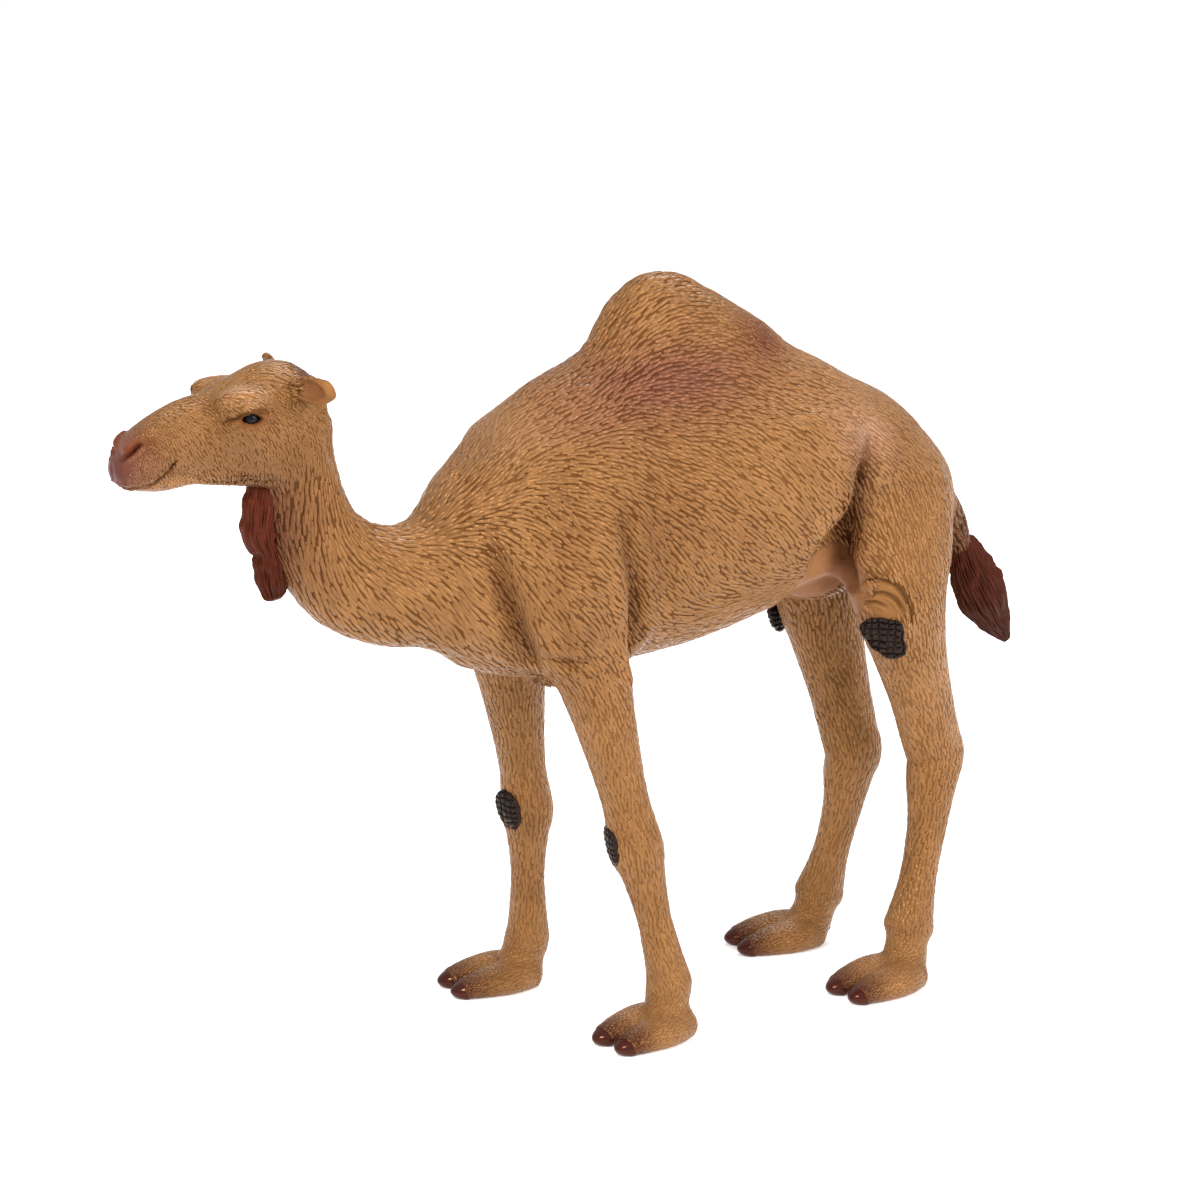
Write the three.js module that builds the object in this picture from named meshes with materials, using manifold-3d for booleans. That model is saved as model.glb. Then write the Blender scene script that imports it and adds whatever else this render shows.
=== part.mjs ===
// A standing dromedary camel, moulded as a one-twentieth scale figure in soft vinyl.
// Millimetres, +Z up. The camel faces -Y, its left side is +X, and it stands on z = 0.
import * as THREE from "three";
import { mergeVertices } from "three/addons/utils/BufferGeometryUtils.js";
import Module from "manifold-3d";

const wasm = await Module();
wasm.setup();

const GAP = 0.3; // clearance between neighbouring pieces
const HUMP_TOP = 105; // height of the figure
const EYE_RADIUS = 1.5;
const MIDDLE_SHIFT = 18; // brings the middle of the figure's length over the origin
const PAD_RISE = 0.5; // how far a horny pad stands out of the leg
const TOE_SPREAD = 2.5; // from the middle of the foot to the middle of a toe

// ---------------------------------------------------------------- shapes

const UP = new THREE.Vector3(0, 0, 1);
const BACK = new THREE.Vector3(0, 1, 0);
const FORWARD = new THREE.Vector3(0, -1, 0);
const lerp = (a, b, f) => a + (b - a) * f;

// The row of a table at station t, on a Catmull-Rom curve through its rows.
function between(rows, t) {
  const i = Math.min(Math.floor(t), rows.length - 2);
  const f = t - i;
  const at = (k) => rows[Math.max(0, Math.min(rows.length - 1, k))];
  return rows[i].map((_, c) => {
    const [a, b, d, e] = [at(i - 1)[c], at(i)[c], at(i + 1)[c], at(i + 2)[c]];
    const cubic = (3 * b - a - 3 * d + e) * f ** 3;
    return 0.5 * (2 * b + (d - a) * f + (2 * a - 5 * b + 4 * d - e) * f * f + cubic);
  });
}

// A closed mesh as a solid that can be joined and cut.
function solid(geometry) {
  geometry.deleteAttribute("normal");
  geometry.deleteAttribute("uv");
  const merged = mergeVertices(geometry, 1e-4);
  const mesh = new wasm.Mesh({
    numProp: 3,
    vertProperties: merged.attributes.position.array,
    triVerts: new Uint32Array(merged.index.array),
  });
  return new wasm.Manifold(mesh);
}

// Rings of equal count with a pole at each end, closed into one solid.
function closed(rings, poles) {
  const sides = rings[0].length;
  const points = [poles[0], ...rings.flat(), poles[1]];
  const id = (r, k) => 1 + r * sides + (k % sides);
  const faces = [];
  for (let k = 0; k < sides; k++) {
    faces.push(0, id(0, k + 1), id(0, k));
    faces.push(points.length - 1, id(rings.length - 1, k), id(rings.length - 1, k + 1));
    for (let r = 0; r + 1 < rings.length; r++) {
      faces.push(id(r, k), id(r + 1, k + 1), id(r + 1, k));
      faces.push(id(r, k), id(r, k + 1), id(r + 1, k + 1));
    }
  }
  const geometry = new THREE.BufferGeometry().setFromPoints(points);
  geometry.setIndex(faces);
  return solid(geometry);
}

// A limb strung on its stations [x, y, z, across, deep, pear]. across is the half width along X, deep
// the half depth at right angles to it, and pear widens one side of the oval. The ends are domes of
// the given lengths, and grow swells the whole limb. square fixes the way the rings face; without it
// they follow the curve of the limb.
function limb(stations, { sides = 14, step = 2, domes = [1, 1], grow = 0, square = null } = {}) {
  const rows = stations.map((row) => [...row, ...Array(6 - row.length).fill(0)]);
  const last = rows.length - 1;
  const at = (t) => between(rows, Math.max(0, Math.min(last, t)));
  const ring = (t, shrink, along) => {
    const [x, y, z, across, deep, pear] = at(t);
    const from = new THREE.Vector3(...at(t - 0.05));
    const ahead = square?.clone() ?? new THREE.Vector3(...at(t + 0.05)).sub(from).normalize();
    const side = new THREE.Vector3(1, 0, 0).addScaledVector(ahead, -ahead.x).normalize();
    const up = side.clone().cross(ahead);
    const middle = new THREE.Vector3(x, y, z).addScaledVector(ahead, along);
    return Array.from({ length: sides }, (_, k) => {
      const angle = (2 * Math.PI * k) / sides;
      const wide = (across + grow) * shrink * Math.sin(angle) * (1 + pear * Math.cos(angle));
      const high = (deep + grow) * shrink * Math.cos(angle);
      return middle.clone().addScaledVector(side, wide).addScaledVector(up, high);
    });
  };
  const dome = (t, length, sign) =>
    [0, 1, 2].map((k) => {
      const turn = (Math.PI / 6) * k;
      return ring(t, Math.cos(turn), sign * (length + grow) * Math.sin(turn));
    });
  const count = last * step;
  const body = Array.from({ length: count - 1 }, (_, k) => ring(((k + 1) * last) / count, 1, 0));
  const rings = [...dome(0, domes[0], -1).reverse(), ...body, ...dome(last, domes[1], 1)];
  const pole = (t, length) => ring(t, 0, length)[0];
  return closed(rings, [pole(0, -domes[0] - grow), pole(last, domes[1] + grow)]);
}

// An oval lump with half sizes along its own axes, turned by degrees about X, then Y, then Z.
function lump([x, y, z], halves, { turn = [0, 0, 0], grow = 0, detail = 12 } = {}) {
  const geometry = new THREE.SphereGeometry(1, detail, Math.round(detail * 0.6));
  geometry.scale(...halves.map((half) => half + grow));
  const angles = turn.map(THREE.MathUtils.degToRad);
  geometry.applyMatrix4(new THREE.Matrix4().makeRotationFromEuler(new THREE.Euler(...angles, "ZYX")));
  geometry.translate(x, y, z);
  return solid(geometry);
}

function slab([x, y, z], [a, b, c]) {
  const geometry = new THREE.BoxGeometry(a, b, c);
  geometry.translate(x, y, z);
  return solid(geometry);
}

const join = (...solids) => solids.reduce((all, one) => all.add(one));
const less = (whole, ...cuts) => cuts.reduce((rest, cut) => rest.subtract(cut), whole);
const biggest = (whole) => whole.decompose().reduce((a, b) => (b.volume() > a.volume() ? b : a));
const bothSides = (make) => join(make(1), make(-1));

// ---------------------------------------------------------------- trunk, hump and neck

const trunkRows = [
  [0, -36.5, 68.3, 9.2, 15.2],
  [0, -32, 69.2, 11.8, 18.0],
  [0, -25, 70.5, 14.0, 20.3],
  [0, -16, 71.6, 15.6, 20.6],
  [0, -4, 72.4, 16.4, 19.8],
  [0, 7, 73.8, 16.2, 18.2],
  [0, 16, 74.8, 14.4, 15.8],
  [0, 25, 73.8, 12.4, 13.0],
  [0, 31, 72.0, 10.2, 11.0],
  [0, 35.6, 69.6, 7.2, 8.2],
];
const trunk = (grow = 0) => limb(trunkRows, { sides: 20, domes: [4, 3.4], grow, square: BACK });

const humpRows = [
  [0, -3.0, 86, 8.0, 23],
  [0, -4.4, 90.3, 8.6, 22.3],
  [0, -3.8, 92.6, 8.2, 17.0],
  [0, -3.5, 95.0, 7.6, 14.6],
  [0, -4.9, 98.2, 6.4, 11.4],
  [0, -6.3, 101.0, 5.0, 8.3],
  [0, -7.0, 103.4, 3.2, 5.0],
];
const humpDomes = [1, HUMP_TOP - humpRows.at(-1)[2]];
const hump = (grow = 0) => limb(humpRows, { sides: 16, step: 1, domes: humpDomes, grow, square: UP });

const neckRows = [
  [0, -30, 67.6, 10.2, 13.6],
  [0, -36.8, 66.2, 8.8, 11.4],
  [0, -42.6, 65.3, 7.4, 9.0],
  [0, -48.4, 65.5, 6.4, 8.2],
  [0, -53.9, 67.8, 5.7, 7.6],
  [0, -57.9, 72.0, 5.3, 6.7],
  [0, -60.0, 77.0, 5.0, 5.9],
  [0, -61.0, 82.5, 4.7, 5.3],
  [0, -61.4, 88.5, 4.3, 4.8],
];
const neck = (grow = 0) => limb(neckRows, { sides: 12, grow });

const beardRows = [
  [0, -65.4, 80.5, 2.2, 2.8],
  [0, -66.0, 77.0, 2.6, 2.9],
  [0, -65.8, 73.5, 2.3, 2.6],
  [0, -65.0, 70.0, 2.2, 2.6],
  [0, -63.8, 66.6, 1.5, 2.0],
];
const beard = (grow = 0) => limb(beardRows, { sides: 8, domes: [1, 1.4], grow });

const dockRows = [
  [0, 36.5, 69.6, 2.8, 2.8],
  [0, 39.8, 66.0, 2.3, 2.3],
  [0, 41.5, 62.2, 1.9, 1.9],
  [0, 42.9, 59.0, 1.5, 1.6],
];
const tuftRows = [
  [0, 42.9, 60.0, 1.6, 1.9],
  [0, 44.4, 56.4, 2.6, 3.4],
  [0, 46.2, 52.6, 3.0, 3.9],
  [0, 48.3, 49.0, 2.1, 2.9],
  [0, 50.3, 45.9, 0.9, 1.1],
];
const dock = (grow = 0) => limb(dockRows, { sides: 8, grow });
const tuft = (grow = 0) => limb(tuftRows, { sides: 8, domes: [0.8, 0.6], grow });

const sheathRows = [
  [0, 12, 59.5, 2.6, 2.4],
  [0, 18, 59.0, 3.4, 3.4],
  [0, 24, 61.0, 3.8, 4.0],
];
const sheath = (grow = 0) => limb(sheathRows, { sides: 10, domes: [2, 2], grow });

// ---------------------------------------------------------------- head

const headRows = [
  [0, -58.6, 90.2, 4.0, 5.0],
  [0, -62.0, 89.8, 5.2, 7.7],
  [0, -66.0, 89.6, 5.6, 8.2],
  [0, -70.0, 89.2, 4.9, 7.2],
  [0, -74.0, 88.7, 4.2, 6.0],
  [0, -78.0, 88.3, 3.9, 5.4],
  [0, -82.0, 87.2, 3.8, 4.7],
  [0, -84.8, 86.3, 3.4, 3.6],
  [0, -86.1, 85.6, 2.6, 2.3],
];
const jawRows = [
  [0, -67.0, 84.2, 3.2, 3.0],
  [0, -73.0, 84.0, 2.7, 2.0],
  [0, -79.0, 83.5, 2.6, 1.4],
  [0, -83.2, 83.5, 2.2, 1.1],
];
const earRows = [
  [4.2, -62.4, 94.2, 1.2, 1.3],
  [5.8, -62.0, 94.6, 1.3, 1.9],
  [8.0, -61.2, 95.0, 1.1, 1.9],
  [9.9, -60.5, 95.4, 0.7, 1.2],
];
function skull(grow = 0) {
  const coarse = { grow, detail: 7 };
  const brow = (side) => lump([side * 4.6, -70.8, 93.8], [1.6, 3.2, 1.5], { turn: [-8, 0, 0], ...coarse });
  const cheek = (side) => lump([side * 3.2, -64.2, 86.6], [2.6, 5.2, 5.0], coarse);
  return join(
    limb(headRows, { sides: 12, step: 1, domes: [1.4, 1.0], grow, square: FORWARD }),
    limb(jawRows, { sides: 10, step: 1, grow, square: FORWARD }),
    bothSides(brow),
    bothSides(cheek),
  );
}
const eyeSize = Array(3).fill(EYE_RADIUS);
const eyeball = (side, grow = 0) => lump([side * 4.5, -69.4, 91.5], eyeSize, { grow, detail: 10 });

// An ear stands out sideways, with its cup open to the front.
function ear(side) {
  const rows = earRows.map(([x, ...rest]) => [side * x, ...rest]);
  const cup = lump([side * 7.8, -62.3, 94.9], [2.3, 1.2, 1.2], { turn: [0, 0, side * 24], detail: 8 });
  return less(limb(rows, { sides: 8, domes: [1, 0.8] }), cup);
}

// ---------------------------------------------------------------- legs

// Joints of each leg from the body down, the middle of its foot on the floor and the way it turns.
const frontJoints = {
  left: [[6.6, -24.6, 68], [9.7, -22.6, 54], [12.1, -16.5, 27], [14.0, -12.4, 7.4], [15, -16.2, 12]],
  right: [[-6.4, -28.0, 66], [-9.7, -25.5, 51], [-11.9, -21.6, 26.5], [-13.5, -20.9, 7.0], [-14, -26, -2]],
};
const hindJoints = {
  left: [[7.2, 25.6, 74], [10.2, 26.2, 55], [6.8, 34.6, 32.0], [10.2, 28.6, 8.2], [12.5, 22.6, 10]],
  right: [[-7.2, 24.0, 72], [-10.2, 24.8, 52], [-6.8, 29.0, 29.6], [-10.0, 25.4, 7.8], [-10.8, 19.2, -6]],
};

// Half width and half depth along a leg: [bone, share of its length, across, deep, forward shift].
const frontShape = [
  [0, 0.0, 5.0, 7.0, 0],
  [0, 0.6, 5.0, 6.4, 0],
  [1, 0.0, 4.6, 5.6, 0],
  [1, 0.35, 3.9, 4.3, 0],
  [1, 0.72, 3.3, 3.4, 0],
  [2, 0.0, 3.6, 3.9, 0.1],
  [2, 0.2, 2.9, 3.1, 0],
  [2, 0.5, 2.3, 2.5, 0],
  [2, 0.78, 2.6, 2.8, 0],
  [2, 1.0, 3.0, 3.3, 0],
];
const hindShape = [
  [0, 0.0, 5.2, 9.8, 0.2],
  [0, 0.45, 6.4, 9.4, 0.2],
  [0, 0.9, 5.7, 7.1, 0],
  [1, 0.25, 4.6, 5.6, 0],
  [1, 0.55, 3.9, 4.8, 0],
  [1, 0.85, 3.6, 4.5, 0.1],
  [2, 0.0, 3.5, 4.5, 0.1],
  [2, 0.15, 3.3, 4.0, 0],
  [2, 0.4, 2.7, 3.1, -0.4],
  [2, 0.72, 2.6, 2.8, -0.3],
  [2, 1.0, 3.2, 3.9, 0],
];
const stations = (joints, shape) =>
  shape.map(([bone, share, across, deep, forward]) => {
    const [x, y, z] = joints[bone].map((a, axis) => lerp(a, joints[bone + 1][axis], share));
    return [x, y - forward, z, across, deep];
  });
const leg = (joints, shape, grow = 0) =>
  limb(stations(joints, shape), { sides: 10, step: 1, domes: [2, 2.4], grow });

// The shoulder stands out of the trunk over the front leg and leans back to the withers.
function foreleg(joints, shape) {
  const [x, y, z] = joints[1];
  const blade = lump([x, y - 2.2, z + 11.5], [5.6, 7.6, 12.5], { turn: [-10, 0, 0], detail: 9 });
  return join(leg(joints, shape), blade);
}

// Two toes side by side on a common heel, flat underneath, each with a nail capping its tip.
const toeRows = (side) => [
  [side * 1.4, 4.0, 1.8, 3.2, 2.6],
  [side * 2.3, 0.8, 1.8, 3.5, 2.5],
  [side * TOE_SPREAD, -3.0, 1.5, 2.9, 2.1],
  [side * TOE_SPREAD, -5.4, 1.2, 2.3, 1.6],
];
const turned = (whole, [x, y, angle]) => whole.rotate([0, 0, angle]).translate([x, y, 0]);
const floor = (top) => slab([0, 0, top - 10], [40, 40, 20]);
function foot(joints, grow = 0) {
  const [fx, fy, fz] = joints[3];
  const [x, y] = joints[4];
  const ankle = [fx, fy, fz - 1, 2.7, 3.0];
  const instep = [lerp(fx, x, 0.5), lerp(fy, y, 0.25), 3, 3.3, 3.5];
  const pastern = limb([ankle, instep], { sides: 8, step: 1, grow });
  const toes = [1, -1].map((side) => limb(toeRows(side), { sides: 8, step: 1, domes: [2.4, 1.4], grow }));
  return join(pastern, turned(join(...toes), joints[4])).subtract(floor(0).translate([x, y, 0]));
}
function nail(joints, side, grow = 0) {
  const cap = lump([side * TOE_SPREAD, -5.9, 1.1], [2.1, 2.0, 1.6], { grow, detail: 8 });
  return turned(less(cap, floor(grow ? -1 : 0)), joints[4]);
}

// The horny pads a kneeling camel rests on, in front of each knee and outside each stifle.
function kneePad(joints, side, grow = 0) {
  const [x, y, z] = joints[2];
  const at = [x - side * 0.8, y - 2.9 - PAD_RISE, z + 0.6];
  return lump(at, [2.3, 0.9, 3.2], { turn: [12, 0, side * -13], grow, detail: 10 });
}
function stiflePad(joints, side, grow = 0) {
  const [x, y, z] = joints[1];
  const at = [x + side * 3.9, y - 4.4, z - 1.6];
  return lump(at, [0.8, 3.1, 3.1], { turn: [0, 0, side * -38], grow, detail: 10 });
}

// ---------------------------------------------------------------- assembly

const vinyl = (color, roughness) => new THREE.MeshStandardMaterial({ color, roughness, metalness: 0 });
const tan = vinyl("#b5834f", 0.5);
const dark = vinyl("#4a2320", 0.4);
const black = vinyl("#1c1b1d", 0.35);
const pale = vinyl("#d3a98c", 0.5);
const camel = new THREE.Group();
camel.position.y = MIDDLE_SHIFT;

function place(name, whole, material) {
  const { vertProperties, triVerts, numProp } = biggest(whole).getMesh();
  const geometry = new THREE.BufferGeometry();
  const positions = new Float32Array((vertProperties.length / numProp) * 3);
  for (let i = 0; i < positions.length / 3; i++) {
    positions.set(vertProperties.subarray(i * numProp, i * numProp + 3), i * 3);
  }
  geometry.setAttribute("position", new THREE.BufferAttribute(positions, 3));
  geometry.setIndex(new THREE.BufferAttribute(triVerts, 1));
  const mesh = new THREE.Mesh(geometry, material);
  mesh.name = name;
  camel.add(mesh);
}

place("trunk", trunk(), tan);
place("hump", less(hump(), trunk(GAP)), tan);
place("neck", less(neck(), trunk(GAP), skull(GAP)), tan);
place("throat_beard", less(beard(), neck(GAP), skull(GAP)), dark);
place("head", less(skull(), eyeball(1, GAP), eyeball(-1, GAP)), tan);
place("tail", less(dock(), trunk(GAP), tuft(GAP)), tan);
place("tail_tuft", tuft(), dark);
place("sheath", less(sheath(), trunk(GAP)), pale);

for (const [word, side] of Object.entries({ left: 1, right: -1 })) {
  place(`eye_${word}`, eyeball(side), black);
  place(`ear_${word}`, less(ear(side), skull(GAP)), tan);
  const limbs = [
    ["front", foreleg, frontJoints[word], frontShape, kneePad],
    ["hind", leg, hindJoints[word], hindShape, stiflePad],
  ];
  for (const [end, make, joints, shape, pad] of limbs) {
    const nails = [1, -1].map((toe) => nail(joints, toe, GAP));
    const upper = less(make(joints, shape), trunk(GAP), neck(GAP), sheath(GAP), pad(joints, side, GAP));
    place(`${end}_leg_${word}`, upper, tan);
    place(`${end}_pad_${word}`, pad(joints, side), black);
    place(`${end}_foot_${word}`, less(foot(joints), leg(joints, shape, GAP), ...nails), tan);
    place(`${end}_nail_${word}_outer`, nail(joints, side), dark);
    place(`${end}_nail_${word}_inner`, nail(joints, -side), dark);
  }
}

export default camel;
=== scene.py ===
import math

import bmesh
import bpy
import numpy as np
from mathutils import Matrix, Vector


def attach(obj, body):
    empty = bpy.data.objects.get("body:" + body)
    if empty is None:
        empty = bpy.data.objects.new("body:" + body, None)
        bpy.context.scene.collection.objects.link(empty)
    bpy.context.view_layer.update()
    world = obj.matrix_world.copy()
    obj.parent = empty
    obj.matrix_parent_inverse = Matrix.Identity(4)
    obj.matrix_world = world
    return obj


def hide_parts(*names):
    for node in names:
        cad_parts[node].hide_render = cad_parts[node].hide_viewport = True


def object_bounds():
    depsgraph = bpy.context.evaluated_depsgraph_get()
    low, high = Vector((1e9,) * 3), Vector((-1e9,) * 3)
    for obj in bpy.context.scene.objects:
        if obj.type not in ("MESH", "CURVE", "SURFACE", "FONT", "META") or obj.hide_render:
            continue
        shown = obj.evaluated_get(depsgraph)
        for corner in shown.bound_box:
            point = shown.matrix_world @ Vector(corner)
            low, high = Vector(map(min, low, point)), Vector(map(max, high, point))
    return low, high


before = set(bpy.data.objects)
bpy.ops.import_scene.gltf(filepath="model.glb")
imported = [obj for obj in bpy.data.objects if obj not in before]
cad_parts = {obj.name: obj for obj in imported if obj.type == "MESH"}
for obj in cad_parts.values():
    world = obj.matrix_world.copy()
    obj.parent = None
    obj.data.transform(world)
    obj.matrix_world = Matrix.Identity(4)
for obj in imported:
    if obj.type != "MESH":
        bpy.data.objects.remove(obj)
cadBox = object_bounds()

import openvdb
from mathutils import Vector, kdtree

# A dromedary moulded in soft vinyl. Lengths are in millimetres unless a comment says metres, drawn
# with y = 0 at the middle of the body; toFrame brings them to the frame's metres. The camel faces
# -y and +x is its left.
middleShift = 18.0
millimetre = 0.001
bothSides = (("left", 1), ("right", -1))
draw = np.random.default_rng(20)


def toFrame(points):
    return (np.asarray(points, float) + (0, middleShift, 0)) * millimetre


# An sRGB hex code as linear light.
def linear(code):
    parts = [int(code[k:k + 2], 16) / 255 for k in (1, 3, 5)]
    return np.array([c / 12.92 if c <= 0.04045 else ((c + 0.055) / 1.055) ** 2.4 for c in parts])


def stand(name, data, at=(0, 0, 0)):
    made = bpy.data.objects.new(name, data)
    made.location = at
    bpy.context.scene.collection.objects.link(made)
    return made


print("stage: setting up the bench")
# Camera and lights, in metres, degrees and watts: a softbox is its place, aim, width, power and tint.
bench = dict(
    lens=125.35, sensor=36, cameraAt=(0.4971, -0.2514, 0.2090), cameraTurn=(75, 0, 63), roomLight=0.62,
    softboxes=dict(
        key_softbox=((0.30, -0.42, 0.55), (0, 0, 0.05), 0.16, 3.5, "#fffaf4"),
        fill_softbox=((0.55, 0.35, 0.30), (0, 0, 0.05), 0.40, 1.6, "#f4f7ff"),
        back_softbox=((-0.35, 0.25, 0.50), (0, 0, 0.06), 0.35, 1.6, "#ffffff"),
        glint_softbox=((0.40, 0.24, 0.42), (0, 0, 0.06), 0.07, 1.0, "#fff6ea"),
        side_glint_softbox=((0.60, 0.15, 0.265), (0, 0, 0.06), 0.04, 0.7, "#fff6ea")))

lens = bpy.data.cameras.new("bench_camera")
lens.lens = bench["lens"]
lens.sensor_width = bench["sensor"]
camera = stand("bench_camera", lens, bench["cameraAt"])
camera.rotation_euler = [math.radians(a) for a in bench["cameraTurn"]]
bpy.context.scene.camera = camera

for name, (at, aim, width, power, tint) in bench["softboxes"].items():
    lamp = bpy.data.lights.new(name, "AREA")
    lamp.shape = "DISK"
    lamp.size = width
    lamp.energy = power
    lamp.color = linear(tint)
    box = stand(name, lamp, at)
    box.rotation_euler = (Vector(aim) - Vector(at)).to_track_quat("-Z", "Y").to_euler()

world = bpy.data.worlds.new("white_room")
world.use_nodes = True
air = world.node_tree.nodes["Background"].inputs
air["Color"].default_value = (1, 1, 1, 1)
air["Strength"].default_value = bench["roomLight"]
bpy.context.scene.world = world
bpy.context.scene.view_settings.view_transform = "Standard"


# A smooth line through its rows, with so many steps from one row to the next.
def spline(rows, steps):
    rows = np.asarray(rows, float)
    t = np.linspace(0, len(rows) - 1, (len(rows) - 1) * steps + 1)
    i = np.minimum(t.astype(int), len(rows) - 2)
    f = (t - i)[:, None]
    a, b, c, d = (rows[np.clip(i + k, 0, len(rows) - 1)] for k in (-1, 0, 1, 2))
    bend = (2 * a - 5 * b + 4 * c - d) * f**2
    return 0.5 * (2 * b + (c - a) * f + bend + (3 * b - a - 3 * c + d) * f**3)


def unit(v):
    return v / np.maximum(np.linalg.norm(v, axis=-1, keepdims=True), 1e-9)


def bell(x, middle, width):
    return np.exp(-(((x - middle) / width) ** 2))


# The matrix of a turn about x, then y, then z, in degrees.
def turned(angles):
    x, y, z = (math.radians(a) for a in angles)
    rx = np.array([[1, 0, 0], [0, math.cos(x), -math.sin(x)], [0, math.sin(x), math.cos(x)]])
    ry = np.array([[math.cos(y), 0, math.sin(y)], [0, 1, 0], [-math.sin(y), 0, math.cos(y)]])
    rz = np.array([[math.cos(z), -math.sin(z), 0], [math.sin(z), math.cos(z), 0], [0, 0, 1]])
    return rz @ ry @ rx


# The flesh is a field of distance, joined from limbs and lumps. A limb runs through rows of [x, y,
# z, half width, half depth], and each station in its table adds its side, up and ahead directions.
sideWay, upWay, aheadWay = slice(5, 8), slice(8, 11), slice(11, 14)
farAway = 6.0


def limb(rows, domes=(1, 1), facing=None, melt=1.0):
    line = spline(rows, 12)
    ahead = np.tile(facing, (len(line), 1)) if facing else unit(np.gradient(line[:, :3], axis=0))
    side = unit(np.array([1.0, 0, 0]) - ahead * ahead[:, :1])
    up = np.cross(side, ahead)
    reach = line[:, 3:5].max() + max(domes) + melt + 2
    return dict(table=np.hstack([line, side, up, ahead]), domes=domes, facing=facing, melt=melt,
                low=line[:, :3].min(0) - reach, high=line[:, :3].max(0) + reach)


# A lump is an egg: its middle, half sizes and turn. One that carves is cut out of what comes before.
def lump(middle, sizes, turn=(0, 0, 0), melt=1.0, carve=False):
    middle = np.array(middle, float)
    reach = max(sizes) + melt + 2
    return dict(middle=middle, sizes=np.array(sizes, float), turn=turned(turn), melt=melt, carve=carve,
                low=middle - reach, high=middle + reach)


# Where along a limb each point lies, as a share of its length, and its table read there.
def station(piece, points):
    table = piece["table"]
    last = len(table) - 1
    if piece["facing"]:
        facing = np.array(piece["facing"], float)
        where = np.interp(points @ facing, table[:, :3] @ facing, np.arange(last + 1))
    else:
        nearest = np.zeros(len(points), int)
        best = np.full(len(points), 1e9)
        for k in range(last + 1):
            away = points - table[k, :3]
            distance = np.einsum("ij,ij->i", away, away)
            closer = distance < best
            nearest[closer] = k
            best[closer] = distance[closer]
        here = table[nearest]
        pace = np.linalg.norm(np.gradient(table[:, :3], axis=0), axis=1)[nearest]
        step = np.einsum("ij,ij->i", here[:, aheadWay], points - here[:, :3]) / pace
        where = np.clip(nearest + np.clip(step, -1, 1), 0, last)
    i = np.minimum(where.astype(int), last - 1)
    f = (where - i)[:, None]
    return where / last, table[i] * (1 - f) + table[i + 1] * f


def distanceTo(piece, points):
    if "turn" in piece:
        local = (points - piece["middle"]) @ piece["turn"]
        sizes = np.tile(piece["sizes"], (len(points), 1))
    else:
        where, row = station(piece, points)
        away = points - row[:, :3]
        local = np.stack([(away * row[:, way]).sum(1) for way in (sideWay, upWay, aheadWay)], axis=1)
        before, after = where <= 0, where >= 1
        past = np.where(after, np.maximum(local[:, 2], 0), 0)
        local[:, 2] = np.where(before, np.minimum(local[:, 2], 0), past)
        sizes = np.column_stack([row[:, 3:5], np.where(before, *piece["domes"])])
    share = local / sizes
    rho = np.sqrt((share**2).sum(1)) + 1e-6
    slope = np.sqrt(((share / sizes) ** 2).sum(1)) + 1e-6
    return (rho - 1) * rho / slope


def inside(piece, points):
    return ((points > piece["low"]) & (points < piece["high"])).all(1)


# The smooth union of all the pieces: where two are close, the seam is filled over their melt. What
# carves is joined to the empty side of the field instead.
def fleshField(points, pieces):
    field = np.full(len(points), farAway)
    for piece in pieces:
        near = inside(piece, points)
        if not near.any():
            continue
        sign = -1 if piece.get("carve") else 1
        a = sign * field[near]
        b = distanceTo(piece, points[near])
        k = piece["melt"]
        h = np.maximum(k - np.abs(a - b), 0) / k
        field[near] = sign * (np.minimum(a, b) - h * h * k / 4)
    return field


print("stage: drawing the body")
back, up, forward = (0, 1, 0), (0, 0, 1), (0, -1, 0)

trunk = limb([
    (0, -36.5, 68.3, 9.2, 15.2), (0, -32, 69.2, 11.8, 18.0), (0, -25, 70.5, 14.0, 20.3),
    (0, -16, 71.6, 15.6, 20.6), (0, -4, 72.4, 16.4, 19.8), (0, 7, 73.8, 16.2, 18.2),
    (0, 16, 74.8, 14.4, 15.8), (0, 25, 73.8, 12.4, 13.0), (0, 31, 72.0, 10.2, 11.0),
    (0, 35.6, 69.6, 7.2, 8.2)], domes=(4, 3.4), facing=back)
hump = limb([
    (0, -3.0, 86, 8.0, 23), (0, -4.4, 90.3, 8.6, 22.3), (0, -3.8, 92.6, 8.2, 17.0),
    (0, -3.5, 95.0, 7.6, 14.6), (0, -4.9, 98.2, 6.4, 11.4), (0, -6.3, 101.0, 5.0, 8.3),
    (0, -7.0, 102.9, 3.5, 5.6)], domes=(1, 2.1), facing=up, melt=4.5)
neck = limb([
    (0, -30, 67.6, 10.2, 13.6), (0, -36.8, 66.2, 8.8, 11.4), (0, -42.6, 65.3, 7.4, 9.0),
    (0, -48.4, 65.5, 6.4, 8.2), (0, -53.9, 67.8, 5.7, 7.6), (0, -57.9, 72.0, 5.3, 6.7),
    (0, -60.0, 77.0, 5.0, 5.9), (0, -61.0, 82.5, 4.7, 5.3), (0, -61.4, 88.5, 4.3, 4.8)], melt=6.0)
tail = limb([
    (0, 36.5, 69.6, 2.8, 2.8), (0, 39.8, 66.0, 2.3, 2.3), (0, 41.5, 62.2, 1.9, 1.9),
    (0, 42.9, 59.0, 1.5, 1.6)], melt=3.0)
sheath = limb([
    (0, 12, 59.5, 2.6, 2.4), (0, 18, 59.0, 3.4, 3.4), (0, 24, 61.0, 3.8, 4.0)], domes=(2, 2), melt=1.6)
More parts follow.
